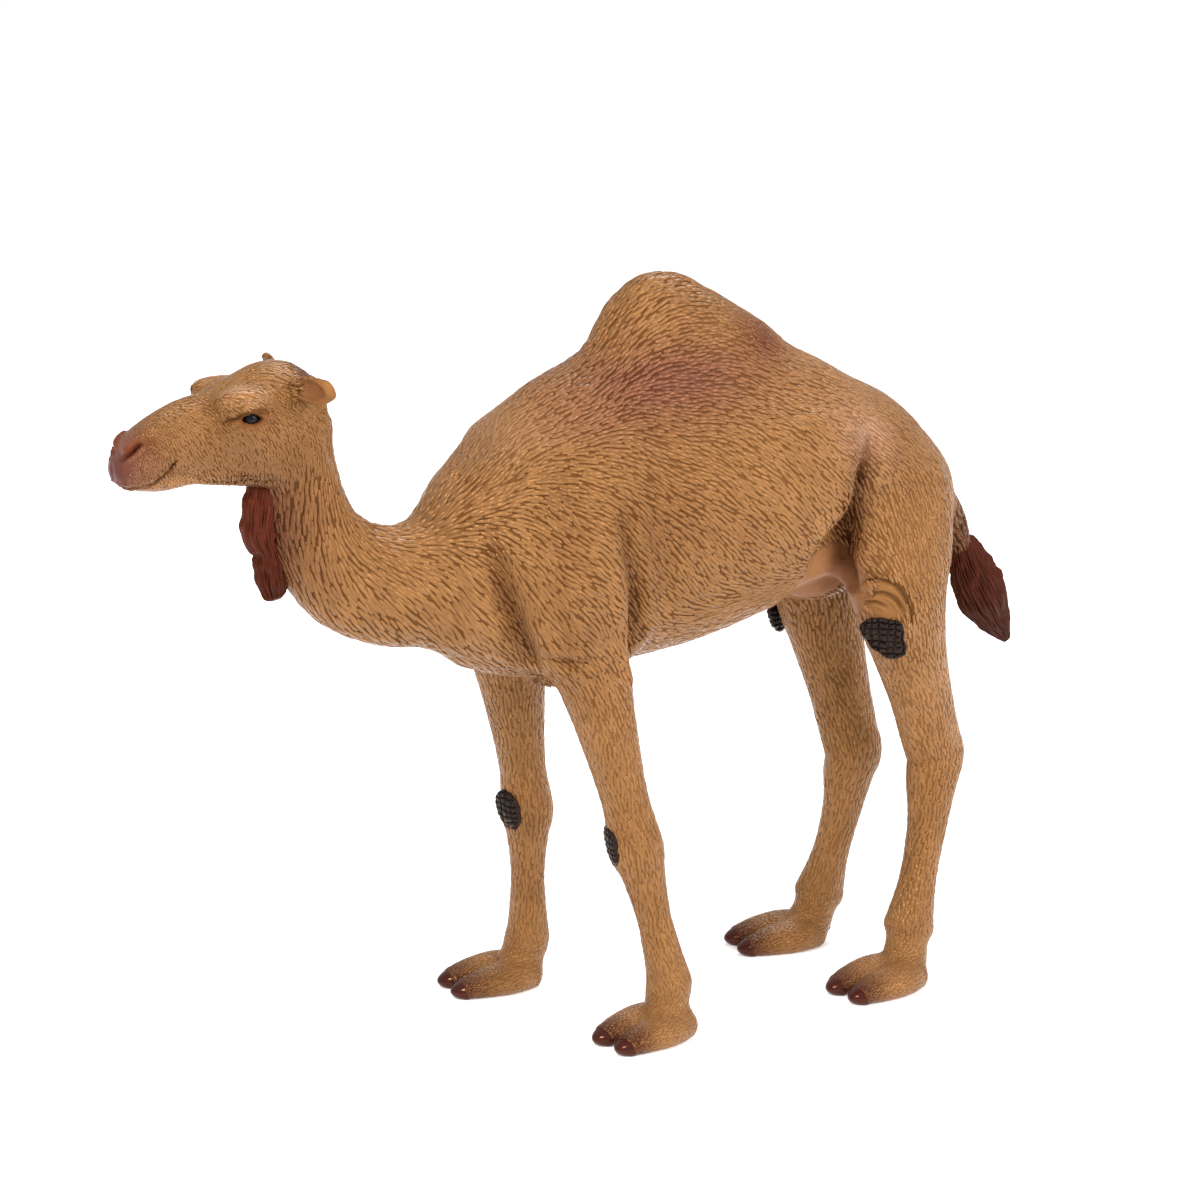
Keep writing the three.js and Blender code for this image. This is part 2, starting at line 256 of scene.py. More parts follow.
skull = limb([
    (0, -58.6, 90.2, 4.0, 5.0), (0, -62.0, 89.8, 5.2, 7.7), (0, -66.0, 89.6, 5.6, 8.2),
    (0, -70.0, 89.2, 4.9, 7.2), (0, -74.0, 88.7, 4.2, 6.0), (0, -78.0, 88.3, 3.9, 5.4),
    (0, -82.0, 87.2, 3.8, 4.7), (0, -84.8, 86.3, 3.4, 3.6), (0, -86.1, 85.6, 2.6, 2.3)],
    domes=(1.4, 1.0), facing=forward, melt=2.0)
jaw = limb([
    (0, -67.0, 84.2, 3.2, 3.0), (0, -73.0, 84.0, 2.7, 2.0), (0, -79.0, 83.5, 2.6, 1.4),
    (0, -83.2, 83.5, 2.2, 1.1)], facing=forward, melt=0.8)

# Joints of each leg from the top down to the ankle, then its foot's middle (x, y) and turn in degrees.
frontJoints = dict(
    left=[(6.6, -24.6, 68), (9.7, -22.6, 54), (12.1, -16.5, 27), (14.0, -12.4, 7.4), (15, -16.2, 12)],
    right=[(-6.4, -28.0, 66), (-9.7, -25.5, 51), (-11.9, -21.6, 26.5), (-13.5, -20.9, 7.0), (-14, -26, -2)])
hindJoints = dict(
    left=[(7.2, 25.6, 74), (10.2, 26.2, 55), (6.8, 34.6, 32), (10.2, 28.6, 8.2), (12.5, 22.6, 10)],
    right=[(-7.2, 24, 72), (-10.2, 24.8, 52), (-6.8, 29, 29.6), (-10, 25.4, 7.8), (-10.8, 19.2, -6)])
# A leg's rows: which bone, how far down it, half width, half depth and shift forward.
frontShape = [
    (0, 0.0, 5.0, 7.0, 0), (0, 0.6, 5.0, 6.4, 0), (1, 0.0, 4.6, 5.6, 0), (1, 0.35, 3.9, 4.3, 0),
    (1, 0.72, 3.3, 3.4, 0), (2, 0.0, 3.6, 3.9, 0.1), (2, 0.2, 2.9, 3.1, 0), (2, 0.5, 2.3, 2.5, 0),
    (2, 0.78, 2.6, 2.8, 0), (2, 1.0, 3.0, 3.3, 0)]
hindShape = [
    (0, 0.0, 5.2, 9.8, 0.2), (0, 0.45, 6.4, 9.4, 0.2), (0, 0.9, 5.7, 7.1, 0), (1, 0.25, 4.6, 5.6, 0),
    (1, 0.55, 3.9, 4.8, 0), (1, 0.85, 3.6, 4.5, 0.1), (2, 0.0, 3.5, 4.5, 0.1), (2, 0.15, 3.3, 4.0, 0),
    (2, 0.4, 2.7, 3.1, -0.4), (2, 0.72, 2.6, 2.8, -0.3), (2, 1.0, 3.2, 3.9, 0)]
# A toe's rows: beside and behind the foot's middle, height, half width and half depth.
toeShape = [(1.4, 4.0, 1.8, 3.2, 2.6), (2.3, 0.8, 1.8, 3.5, 2.5), (2.5, -3.0, 1.5, 2.9, 2.1),
            (2.5, -5.4, 1.2, 2.3, 1.6)]


# A spot of a foot, so far beside and behind its middle, in the body's own axes.
def onFoot(joints, beside, behind):
    x, y, angle = joints[4]
    c = math.cos(math.radians(angle))
    s = math.sin(math.radians(angle))
    return x + c * beside - s * behind, y + s * beside + c * behind


# The leg, the pastern and two toes. The second toe melts less, so a cleft stays between them.
def legPieces(joints, shape):
    joints = np.array(joints, float)
    rows = []
    for bone, share, across, deep, forwardShift in shape:
        x, y, z = joints[bone] * (1 - share) + joints[bone + 1] * share
        rows.append((x, y - forwardShift, z, across, deep))
    fx, fy, fz = joints[3]
    x, y = joints[4][:2]
    pastern = [(fx, fy, fz - 1, 2.7, 3.0), ((fx + x) / 2, fy * 0.75 + y * 0.25, 3, 3.3, 3.5)]
    made = [limb(rows, domes=(2, 2.4), melt=3.0), limb(pastern, melt=1.6)]
    for side, melt in ((1, 1.2), (-1, 0.7)):
        toe = [(*onFoot(joints, side * a, b), h, wide, deep) for a, b, h, wide, deep in toeShape]
        made.append(limb(toe, domes=(2.4, 1.4), melt=melt))
    return made


# Lumps of the left side of the face: middle, half sizes, turn and melt.
faceLumps = dict(
    brow=((4.4, -70.6, 93.7), (1.7, 3.4, 1.7), (-8, 0, 0), 2.6),
    orbit=((3.9, -69.0, 91.0), (1.95, 4.0, 3.2), (0, 0, 0), 2.6),
    nostrilWing=((1.9, -84.1, 88.1), (1.3, 2.1, 1.4), (28, 0, 28), 1.0),
    upperLip=((1.5, -84.5, 85.0), (2.1, 2.05, 2.0), (0, 0, 0), 0.9),
    cheek=((3.2, -64.2, 86.6), (2.6, 5.2, 5.0), (0, 0, 0), 2.0))
earRows = [(4.2, -62.4, 94.3, 1.2, 1.3), (5.8, -62.0, 94.7, 1.3, 1.9), (8.0, -61.2, 95.0, 1.15, 2.25),
           (9.9, -60.5, 95.4, 0.9, 1.7)]

# the hollow between the tucked-up belly and the thigh is cut out before the legs join the trunk
groin = [lump((side * 15.4, 16.3, 66.0), (6.4, 11.2, 5.3), (48, 0, 0), melt=1.3, carve=True)
         for word, side in bothSides]
pieces = [trunk, hump] + groin + [neck, tail, sheath, skull, jaw]
legs = {}
ears = []
for word, side in bothSides:
    x, y, z = frontJoints[word][1]
    pieces.append(lump((x, y - 2.2, z + 11.5), (5.6, 7.6, 12.5), (-10, 0, 0), melt=4.0))
    for (x, y, z), sizes, (tilt, roll, swing), melt in faceLumps.values():
        pieces.append(lump((side * x, y, z), sizes, (tilt, roll, side * swing), melt))
    legs["front_" + word] = legPieces(frontJoints[word], frontShape)
    legs["hind_" + word] = legPieces(hindJoints[word], hindShape)
    ears.append(limb([(side * x, *rest) for x, *rest in earRows], domes=(1, 0.8), melt=0.6))
    cup = lump((side * 7.7, -62.75, 94.9), (2.7, 1.75, 1.5), (14, 0, side * 20), melt=0.35, carve=True)
    pieces += legs["front_" + word] + legs["hind_" + word] + [ears[-1], cup]

# the skin lies inside the flesh by the depth of the coat
coatDepth = 0.14


def body(points):
    return np.maximum(fleshField(points, pieces) + coatDepth, -points[:, 2])


def slopeOf(points, step=0.05):
    climbs = [body(points + step * e) - body(points - step * e) for e in np.eye(3)]
    return np.stack(climbs, 1) / (2 * step)


# Lays points on the body's surface, a short step down the slope at a time.
def settle(points, rounds=3):
    for _ in range(rounds):
        slope = slopeOf(points)
        fall = np.clip(body(points), -0.6, 0.6)[:, None] * slope
        points = points - fall / np.maximum((slope**2).sum(1), 0.2)[:, None]
    return points


print("stage: casting the skin")
# The grid it is cast on: its cell, how many cells a block of the first rough reading spans, its
# corners, and how far from the surface it still counts.
cast = dict(cell=0.68, span=5, low=np.array([-22.0, -89, -1.2]), high=np.array([23.0, 47, 107]), band=3.0)


# The field on a grid: read roughly everywhere, then closely only where the surface passes.
def castGrid(cell, span, low, high, band):
    block = cell * span
    blocks = np.ceil((high - low) / block).astype(int)
    axes = [low[k] + block * (np.arange(blocks[k]) + 0.5) for k in range(3)]
    centres = np.stack(np.meshgrid(*axes, indexing="ij"), -1).reshape(-1, 3)
    fine = body(centres).reshape(blocks).astype(np.float32)
    for axis in range(3):
        fine = np.repeat(fine, span, axis)
    near = np.argwhere(np.abs(fine) < block * 1.3 + 0.4)
    fine[tuple(near.T)] = body(low + cell * (near + 0.5))
    volume = openvdb.FloatGrid(background=band)
    volume.copyFromArray(np.clip(fine, -band, band))
    points, quads = volume.convertToQuads(isovalue=0.0)
    return low + cell * (points.astype(float) + 0.5), np.asarray(quads, int)


points, quads = castGrid(**cast)
skinMesh = bpy.data.meshes.new("skin")
skinMesh.from_pydata(points, [], quads.tolist())
work = bmesh.new()
work.from_mesh(skinMesh)


def workPlaces():
    return np.array([v.co for v in work.verts], float)


def moveWork(places):
    for v, spot in zip(work.verts, places):
        v.co = spot


# Cuts every edge of the faces whose middles a region holds, and lays the new points on the body.
def refine(region):
    chosen = region(np.array([f.calc_center_median() for f in work.faces]))
    edges = dict.fromkeys(e for f, take in zip(work.faces, chosen) if take for e in f.edges)
    before = len(work.verts)
    bmesh.ops.subdivide_edges(work, edges=list(edges), cuts=1, use_grid_fill=True)
    work.verts.ensure_lookup_table()
    places = workPlaces()
    places[before:] = settle(places[before:])
    moveWork(places)


# Both sides of the body brought onto its left one.
def folded(points):
    return np.column_stack([np.abs(points[:, 0]), points[:, 1:]])


# The head is what lies above a line under the jaw that climbs behind it to the nape.
def headRegion(p):
    return (p[:, 1] < -57.5) & (p[:, 2] > 81 + 0.6 * np.maximum(p[:, 1] + 66, 0))


# The feet without their flat soles.
def footRegion(p):
    return (p[:, 2] < 6.5) & (p[:, 2] > 0.02)


# Spots of the left side, each a middle and a reach along x, y and z. They count on both sides.
faceSpots = [((0, -84.5, 86.5), (5, 3.6, 5)), ((3.4, -80.5, 85.5), (2.4, 3, 2.4)),
             ((5, -69.5, 91.5), (3, 2.6, 2.2)), ((8, -61.5, 95), (3.4, 2.2, 2.6))]
stifleSpots = [((14, 22, 56.6), (4.6, 5.2, 6.2))]


def awayFrom(points, spots):
    left = folded(points)
    return np.min([np.linalg.norm((left - centre) / reach, axis=1) for centre, reach in spots], axis=0)


def spotRegion(points, spots):
    return awayFrom(points, spots) < 1


# Rubs down the ledges left where hump, withers and loin meet, each spot with its own reach.
def soften(points, links, spots, rounds):
    weight = 0.6 * np.clip(1.6 * (1 - awayFrom(points, spots)), 0, 1)
    degree = np.bincount(links.ravel(), minlength=len(points))
    start, end = links.T
    for _ in range(rounds):
        total = np.stack([np.bincount(start, points[end, k], len(points)) +
                          np.bincount(end, points[start, k], len(points)) for k in range(3)], 1)
        points = points + (total / np.maximum(degree, 1)[:, None] - points) * weight[:, None]
    return points


links = np.array([[v.index for v in e.verts] for e in work.edges])
ledges = [((4, -27, 89), (16, 14, 9)), ((9, -6, 89.5), (13, 28, 7)), ((3, 16, 89.5), (13, 16, 8)),
          ((9, -36, 70), (12, 9, 20)), ((4, 33, 74), (14, 10, 14)), ((0.5, -35.5, 85), (9, 9, 7)),
          ((3, 27, 85.5), (12, 10, 8))]
softening = [(ledges, 70), ([((0, -35.5, 85), (11, 12, 9))], 130), ([((0, -7, 104.5), (8, 11, 6))], 22)]
places = settle(workPlaces(), rounds=2)
for spots, rounds in softening:
    places = soften(places, links, spots, rounds)
moveWork(places)
refine(lambda p: headRegion(p) | footRegion(p) | spotRegion(p, stifleSpots))
refine(lambda p: spotRegion(p, faceSpots + stifleSpots))
bmesh.ops.recalc_face_normals(work, faces=work.faces)
work.to_mesh(skinMesh)
work.free()


def triangleCount(mesh):
    return sum(len(p.vertices) - 2 for p in mesh.polygons)


def vectors(data, field):
    found = np.empty(len(data) * 3, np.float32)
    data.foreach_get(field, found)
    return found.reshape(-1, 3).astype(float)


def write(mesh, places):
    mesh.vertices.foreach_set("co", np.asarray(places, np.float32).ravel())
    mesh.update()


print("skin", len(skinMesh.vertices), "points", triangleCount(skinMesh), "triangles")
print("stage: modelling folds and face")
skin = vectors(skinMesh.vertices, "co")
outward = vectors(skinMesh.vertex_normals, "vector")
pressed = np.zeros(len(skin))


# How far each point lies from a path, and how far along it, for the points that are close.
def alongPath(points, line, reach):
    close = ((points > line.min(0) - reach) & (points < line.max(0) + reach)).all(1)
    index = np.flatnonzero(close)
    gaps = np.linalg.norm(points[index, None] - line[None], axis=2)
    share = gaps.argmin(1) / (len(line) - 1)
    return index, gaps.min(1), share


# What lies off the middle line is made on both sides, what lies on it only once.
def sidesOf(path):
    return (1, -1) if any(x for x, y, z in path) else (1,)


# A fold pressed in along a path, with a lip of flesh so many widths beside it. Depth and lip fade
# towards both ends, and the fold's shadow is kept in pressed for the paint.
crease = dict(lipAway=1.9, shadowWidth=0.75, fade=0.7)


def fold(path, width, depth, lip=0.0, ends=(0.2, 0.2), shadow=1.0):
    for side in sidesOf(path):
        line = settle(spline(np.array(path, float) * (side, 1, 1), 10), rounds=6)
        index, gap, share = alongPath(skin, line, width * 4)
        fade = (np.clip(share / ends[0], 0, 1) * np.clip((1 - share) / ends[1], 0, 1)) ** crease["fade"]
        dent = depth * bell(gap, 0, width) - lip * bell(gap, crease["lipAway"] * width, width)
        skin[index] -= outward[index] * (dent * fade)[:, None]
        narrow = bell(gap, 0, crease["shadowWidth"] * width) * fade * min(1, depth / (width + 0.2))
        pressed[index] = np.maximum(pressed[index], narrow * shadow)


def swell(centre, radius, height):
    for side in sidesOf([centre]):
        away = np.linalg.norm((skin - np.array(centre) * (side, 1, 1)) / radius, axis=1)
        skin[:] += outward * (height * np.exp(-(away**2) * 2))[:, None]


# shoulders, elbows and flanks
fold([(8.7, -38.3, 75.1), (10.4, -36, 65.4), (9.6, -33, 59.4), (8.2, -30, 54)], 1.8, 1.9, 0.5,
     ends=(0.35, 0.2), shadow=0.85)
fold([(15.0, -20.0, 78), (15.2, -19.8, 72), (14.6, -18.1, 64.1), (12.2, -17.1, 56), (10.5, -16.6, 51.5)],
     1.3, 1.8, 0.55, ends=(0.55, 0.08))
fold([(9.5, -28.5, 58), (11.5, -27, 56.2), (12.8, -24, 55.6)], 0.9, 0.6, 0.2, ends=(0.4, 0.4), shadow=0.6)
fold([(12.4, -32, 79), (13.6, -29, 72), (13.4, -27, 65)], 2.2, 0.6, 0.2, ends=(0.5, 0.5), shadow=0.0)
fold([(12.0, 20.9, 82.0), (12.2, 19.0, 78.2), (12.6, 16.6, 74.0), (11.8, 15.8, 69.0), (10.6, 16.2, 63.5),
      (10.2, 18.0, 58.6)], 1.5, 2.4, 0.3, ends=(0.3, 0.15))
fold([(15.5, -17.0, 80), (15.6, -15.6, 73), (14.6, -14.4, 65), (12.5, -13.6, 59)], 3.0, 0.9,
     ends=(0.5, 0.3), shadow=0.0)
swell((0, -36.4, 85.2), (7, 5.4, 5), -1.5)
swell((14.4, -24.5, 64), (4.5, 5, 9), 0.35)
swell((12.5, -26.5, 79), (6, 5.5, 7), 0.3)
swell((5.5, -40.0, 58.5), (5, 3.6, 4), 0.55)
# loose skin over the stifle pad
fold([(11.4, 18.6, 60.6), (13.4, 20.2, 61.4), (15.0, 22.6, 60.4), (15.6, 24.4, 57.6), (15.4, 25.2, 54.2)],
     0.36, 0.5, 0.32, ends=(0.25, 0.2), shadow=0.55)
fold([(12.2, 19.2, 59.0), (13.8, 20.9, 59.4), (14.8, 22.6, 58.4), (15.2, 23.9, 56.4)], 0.3, 0.42, 0.28,
     shadow=0.6)
fold([(12.0, 18.9, 57.6), (13.2, 20.2, 58.0), (14.2, 21.6, 57.2)], 0.26, 0.32, 0.2, shadow=0.6)
# jaw, mouth and nose
mouthLine = [(0.6, -86.3, 83.3), (2.7, -85.2, 83.3), (2.9, -84.0, 83.5), (2.3, -82.6, 83.8),
             (2.9, -80.7, 85.1), (3.4, -79.2, 86.8)]
nostrilSlit = [(1.3, -86.5, 87.2), (2.5, -86.1, 87.9), (3.2, -85.5, 88.5), (2.8, -84.5, 88.9),
               (2.7, -83.5, 89.4)]
fold([(2.6, -78.1, 84.3), (2, -71.4, 82.9), (4.8, -65.6, 82.9)], 0.4, 0.3, 0.1, shadow=0.6)
fold(mouthLine, 0.28, 0.75, 0.16, ends=(0.02, 0.12))
fold(nostrilSlit, 0.4, 1.15, 0.38, ends=(0.3, 0.14))
fold([(2.2, -84.2, 90.2), (3.2, -83.0, 89.6), (3.4, -82.4, 88.6), (3.2, -83.2, 87.6)], 0.5, 0.3, 0.1,
     ends=(0.3, 0.3), shadow=0.5)
fold([(1.9, -85.6, 89.6), (2.3, -85.9, 89.0), (2.6, -85.9, 88.5)], 0.26, 0.2, 0.04, ends=(0.3, 0.1),
     shadow=0.5)
swell((0, -87, 87.8), (3.2, 1.8, 1.3), -0.5)
swell((0, -80.8, 83.0), (3.4, 2.6, 1.4), 0.3)
swell((0, -76.4, 82.6), (4, 3, 1.8), -0.4)
fold([(0.0, -87.0, 86.4), (0.0, -87.0, 85.4), (0.0, -86.4, 83.9)], 0.3, 0.2, ends=(0.3, 0.2))
for y, z in ((-86.6, 85.6), (-85.4, 86.2), (-84.2, 86.4)):
    fold([(2.6, y, z), (2.9, y + 0.25, z - 1.1), (2.8, y + 0.2, z - 2.0)], 0.24, 0.13, 0.02,
         ends=(0.4, 0.2), shadow=0.5)
# over the eye
fold([(5.0, -73.6, 91.2), (5.3, -72.6, 91.7), (5.8, -71.4, 92.2), (6.1, -69.9, 92.65), (6.2, -68.0, 92.6),
      (5.9, -66.2, 91.9)], 0.36, 0.5, 0.42, ends=(0.25, 0.3), shadow=0.45)
fold([(5.9, -73.2, 93.6), (6.3, -71.2, 94.3), (6.2, -68.8, 94.3)], 0.4, 0.22, 0.15, ends=(0.4, 0.4),
     shadow=0.2)
swell((5.9, -70.6, 93.5), (1.8, 3.2, 0.9), 0.6)

# The left eye: its ball, how thick the lids lie on it, and how far the opening reaches each way.
eye = dict(middle=np.array([4.5, -69.4, 91.5]), radius=1.5, lid=0.2, melt=0.7, rim=0.1, sunk=0.35,
           back=1.15, front=1.4, upper=0.74, lower=0.6)


# Lids that lie close on the ball, parted by an almond opening that is longest towards the nose.
def lids(side):
    out = unit(np.array([side * 0.985, -0.14, 0.08]))
    rear = unit(np.array([0, 1.0, 0]) - out * out[1])
    top = np.cross(out, rear) * side
    away = skin - eye["middle"] * (side, 1, 1)
    u, v, w = away @ rear, away @ top, away @ out
    flat = np.hypot(u, v)
    near = (flat < 3.4) & (w > -1.5)
    ball = np.sqrt(np.maximum((eye["radius"] + eye["lid"]) ** 2 - flat**2, 0))
    ball = ball - 1.2 * np.maximum(flat - eye["radius"], 0)
    k = eye["melt"]
    h = np.maximum(k - np.abs(w - ball), 0) / k
    lidded = np.maximum(w, ball) + h * h * k / 4
    length = np.where(u > 0, eye["back"], eye["front"])
    height = np.where(v > 0, eye["upper"], eye["lower"])
    parting = np.abs(u / length) ** 1.45 + np.abs(v / height) ** 1.9
    rimShade = 0.65 * bell(parting, 1.25, 0.35)
    pressed[near] = np.maximum(pressed[near], rimShade[near])
    rim = eye["rim"] * bell(parting, 1.35, 0.35)
    sunk = np.sqrt(np.maximum(eye["radius"] ** 2 - flat**2, 0.1)) - eye["sunk"]
    opened = np.clip((1.12 - parting) / 0.2, 0, 1)
    target = (lidded + rim) * (1 - opened) + sunk * opened
    skin[near] += out * (target - w)[near, None]


lids(1)
lids(-1)
fold([(5.6, -70.6, 91.5), (5.6, -71.4, 91.4), (5.3, -73.0, 91.1)], 0.24, 0.5, 0.1, ends=(0.1, 0.6))

# the locks stand on the skin, so it keeps a lock's height inside the frame's own box
innerBox = np.array([list(corner) for corner in cadBox]) / millimetre - (0, middleShift, 0)
skin = np.clip(skin, innerBox[0] + (0.2, 0.04, 0), innerBox[1] - 0.2)
write(skinMesh, skin)
outward = vectors(skinMesh.vertex_normals, "vector")

print("stage: painting")
# Airbrushed spots over the tan: middle, reach along x, y and z, colour and strength. Some are
# painted shade or painted highlight, marked where they stand. The other side has the same, but for the
# one-sided ones.
tan, shade, gloss = "#815a34", "#664124", "#966c46"
mauve, russet, cream, umber, plum = "#6f4538", "#5e301d", "#b38660", "#3f1a15", "#58312f"
sprays = dict(
    saddle=((8, -9.5, 91.2), (12, 14, 5.2), "#653a31", 0.9),
    saddleFront=((9, -22, 88), (9, 7, 4), mauve, 0.4),
    humpRear=((5, 6.7, 95.2), (6, 4, 3.5), russet, 1.0),
    flankPatch=((12.5, 19.2, 81.5), (5, 4.5, 4), "#b08a78", 0.55),
    # painted shade in the deep hollow of the flank fold
    flankFoldShade=((11.5, 16.6, 72), (4, 3, 7), "#3f1a08", 0.95),
    # painted shade along the front edge of the thigh, in the hollow of the groin
    thighFrontShade=((8.8, 17.5, 63), (3.6, 2.6, 6), "#542a12", 0.8),
    # painted shade in the broad hollow behind the shoulder
    behindShoulderShade=((15.5, -15.5, 72), (7, 4.5, 12), "#5d3a1c", 0.6),
    # painted shade: the underside darker
    belly=((0, 0, 52), (14, 26, 6), shade, 0.35),
    # painted highlight on the withers
    withers=((3, -33, 86), (8, 8, 4), cream, 0.35),
    # painted highlight on the near side of the loin
    loin=((5, 20, 88), (12, 12, 7), gloss, 0.3),
    face=((5, -74, 87.5), (6, 12, 6), "#5c3e24", 0.42),
    lip=((0, -88.4, 85), (9, 6.8, 4.8), plum, 1.15),
    noseTop=((0, -86.5, 90.2), (4, 3, 2.4), "#774a3d", 0.8),
    chin=((1.5, -80, 83.4), (3, 5, 1.2), cream, 0.4),
    dock=((0, 42.2, 63.0), (4.5, 5, 7.5), "#35110d", 1.0),
    throat=((0, -66, 74.5), (12, 5.6, 11), umber, 1.0),
    poll=((0.6, -60.2, 96.6), (3.8, 2.3, 2.2), umber, 1.0),
    nostril=((2.6, -85.4, 88.6), (1.6, 2.8, 1.7), "#6b3324", 0.8),
    lidRim=((5.9, -69.6, 91.3), (1.4, 2.0, 1.0), "#6b3c17", 0.7),
    # painted highlight on the brow ridge
    brow=((5.2, -71, 94.9), (3, 2.2, 1.4), cream, 0.5),
    sheath=((4, 15, 59), (8, 6, 5), "#8f6450", 0.6),
    # the ear's hollow: its own red-brown, made darker as painted shade in the hollow
    earCup=((7.5, -61.6, 94.9), (2.5, 1.1, 1.4), "#7d4a35", 0.75),
    earRim=((9.6, -60.6, 96.2), (2.6, 2.0, 1.5), "#a06c3e", 0.3),
    # painted shade on the far ear
    farEarShade=((-9.8, -60.6, 96), (2.6, 2.2, 2.2), "#5a3721", 0.85))
oneSided = ("loin", "poll", "farEarShade")
# How the toes were dipped: where the dip starts ahead of the foot's middle, how far it takes to
# deepen, how far round and how high it goes, and its strength.
toeDip = dict(start=1.8, length=3.6, reach=12, top=7, strength=0.85)


def spread(points, centre, reach, both=True):
    away = ((folded(points) if both else points) - centre) / reach
    return np.exp(-(away**2).sum(1))


# Waves in six directions that add up to an uneven tone, about so many millimetres from crest to crest.
def ripple(points, scale, seed):
    rng = np.random.default_rng(seed)
    total = np.zeros(len(points))
    for _ in range(6):
        turn = unit(rng.normal(size=3)) * 2 * math.pi / (scale * rng.uniform(0.7, 1.6))
        total += np.sin(points @ turn + rng.uniform(0, 6.28))
    return total / 6


# The paint at any place, the same for the skin and for the coat that grows there.
def paint(points):
    ground, light, dark = linear(tan), linear(gloss), linear(shade)
    tone = ripple(points, 22, 3)[:, None] * 0.5 + ripple(points, 6, 4)[:, None] * 0.35
    colour = ground + (light - ground) * np.clip(tone, 0, 1) + (dark - ground) * np.clip(-tone, 0, 1)
    for name, (centre, reach, tint, strength) in sprays.items():
        amount = spread(points, centre, reach, name not in oneSided) * strength
        colour = colour + (linear(tint) - colour) * amount[:, None]
    for joints in (*frontJoints.values(), *hindJoints.values()):
        x, y, angle = joints[4]
        across, along = points[:, 0] - x, points[:, 1] - y
        ahead = across * math.sin(math.radians(angle)) - along * math.cos(math.radians(angle))
        dip = np.clip((ahead - toeDip["start"]) / toeDip["length"], 0, 1)
        dip = dip * (np.hypot(across, along) < toeDip["reach"]) * (points[:, 2] < toeDip["top"])
        colour = colour + (linear(umber) - colour) * (dip * toeDip["strength"])[:, None]
    return np.clip(colour, 0, 1)


def attribute(mesh, name, kind, values):
    field = {"FLOAT": "value", "INT": "value", "FLOAT_VECTOR": "vector", "FLOAT_COLOR": "color"}[kind]
    sort = np.int32 if kind == "INT" else np.float32
    made = mesh.attributes.new(name, kind, "POINT")
    made.data.foreach_set(field, np.asarray(values, sort).ravel())


def coloured(mesh, colour):
    colour = np.broadcast_to(colour, (len(mesh.vertices), 3))
    attribute(mesh, "paint", "FLOAT_COLOR", np.column_stack([colour, np.ones(len(colour))]))


# A node with its options and inputs by name: each a value, a socket to link, or a node whose first
# output is linked. Options come first, because some inputs depend on them.
def addNode(tree, kind, given=None):
    made = tree.nodes.new(kind)
    for key, value in (given or {}).items():
        if isinstance(value, bpy.types.Node):
            value = value.outputs[0]
        if isinstance(value, bpy.types.NodeSocket):
            tree.links.new(value, made.inputs[key])
        elif hasattr(made, key):
            setattr(made, key, value)
        else:
            made.inputs[key].default_value = value
    return made


# What all the vinyls share, in metres: how fine their clouding and pores are, how strongly they
# bend light, and the colour and depth of the light that comes back out of them.
softVinyl = dict(clouds=900.0, pores=3500.0, poreStrength=0.35, ior=1.48, glow=(1.0, 0.45, 0.25),
                 glowDepth=0.0012)


# Soft vinyl: the paint comes from the piece's own attribute and a fine grain breaks up the shine.
# With a valley, the paint at the foot of each lock is painted shade, only that share as bright as on its
# crest.
def vinyl(name, roughness, shine, grain=0.2, subsurface=0.08, depth=0.00004, valley=None, glint="#ffc08a"):
    made = bpy.data.materials.new(name)
    made.use_nodes = True
    tree = made.node_tree
    tree.nodes.clear()
    where = addNode(tree, "ShaderNodeTexCoord").outputs["Object"]
    colour = addNode(tree, "ShaderNodeAttribute", {"attribute_name": "paint"})
    cloud = addNode(tree, "ShaderNodeTexNoise",
                    {"Scale": softVinyl["clouds"], "Detail": 3.0, "Vector": where})
    tone = addNode(tree, "ShaderNodeMapRange", {"To Min": 1 - grain, "To Max": 1 + grain, "Value": cloud})
    mixed = addNode(tree, "ShaderNodeVectorMath", {"operation": "SCALE", "Vector": colour, "Scale": tone})
    if valley is not None:
        crest = addNode(tree, "ShaderNodeAttribute", {"attribute_name": "crest"}).outputs["Fac"]
        lift = addNode(tree, "ShaderNodeMapRange", {"To Min": valley, "To Max": 1.0, "Value": crest})
        mixed = addNode(tree, "ShaderNodeVectorMath",
                        {"operation": "SCALE", "Vector": mixed, "Scale": lift})
    pore = addNode(tree, "ShaderNodeTexNoise",
                   {"Scale": softVinyl["pores"], "Detail": 2.0, "Vector": where})
    bump = addNode(tree, "ShaderNodeBump",
                   {"Strength": softVinyl["poreStrength"], "Distance": depth, "Height": pore})
    shader = addNode(tree, "ShaderNodeBsdfPrincipled", {
        "Roughness": roughness, "IOR": softVinyl["ior"], "Specular IOR Level": shine,
        "Specular Tint": (*linear(glint), 1.0), "Subsurface Weight": subsurface,
        "Subsurface Radius": softVinyl["glow"], "Subsurface Scale": softVinyl["glowDepth"],
        "Base Color": mixed, "Normal": bump})
    addNode(tree, "ShaderNodeOutputMaterial", {"Surface": shader})
    return made


def place(name, mesh, material, slot, *nodes):
    mesh.materials.clear()
    mesh.materials.append(material)
    mesh.shade_smooth()
    made = stand(name, mesh)
    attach(made, "root")
    if nodes:
        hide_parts(*nodes)


# Smooth places without hair: round the eyes, in the ears, along the nostrils and lips, the soles.
bareSpots = [(eye["middle"] + (1.0, -0.3, 0.4), (2.6, 2.7, 1.8)), ((7, 15, 59.5), (7, 8, 7.0)),
             ((14.2, 21.6, 58.2), (2.4, 3.2, 3.2)), ((0, -87.2, 87.2), (4.2, 2.6, 5.0))]
barePaths = [(spline(mouthLine, 6), 0.55), (spline(nostrilSlit, 6), 0.95)]
soleTop = 0.45


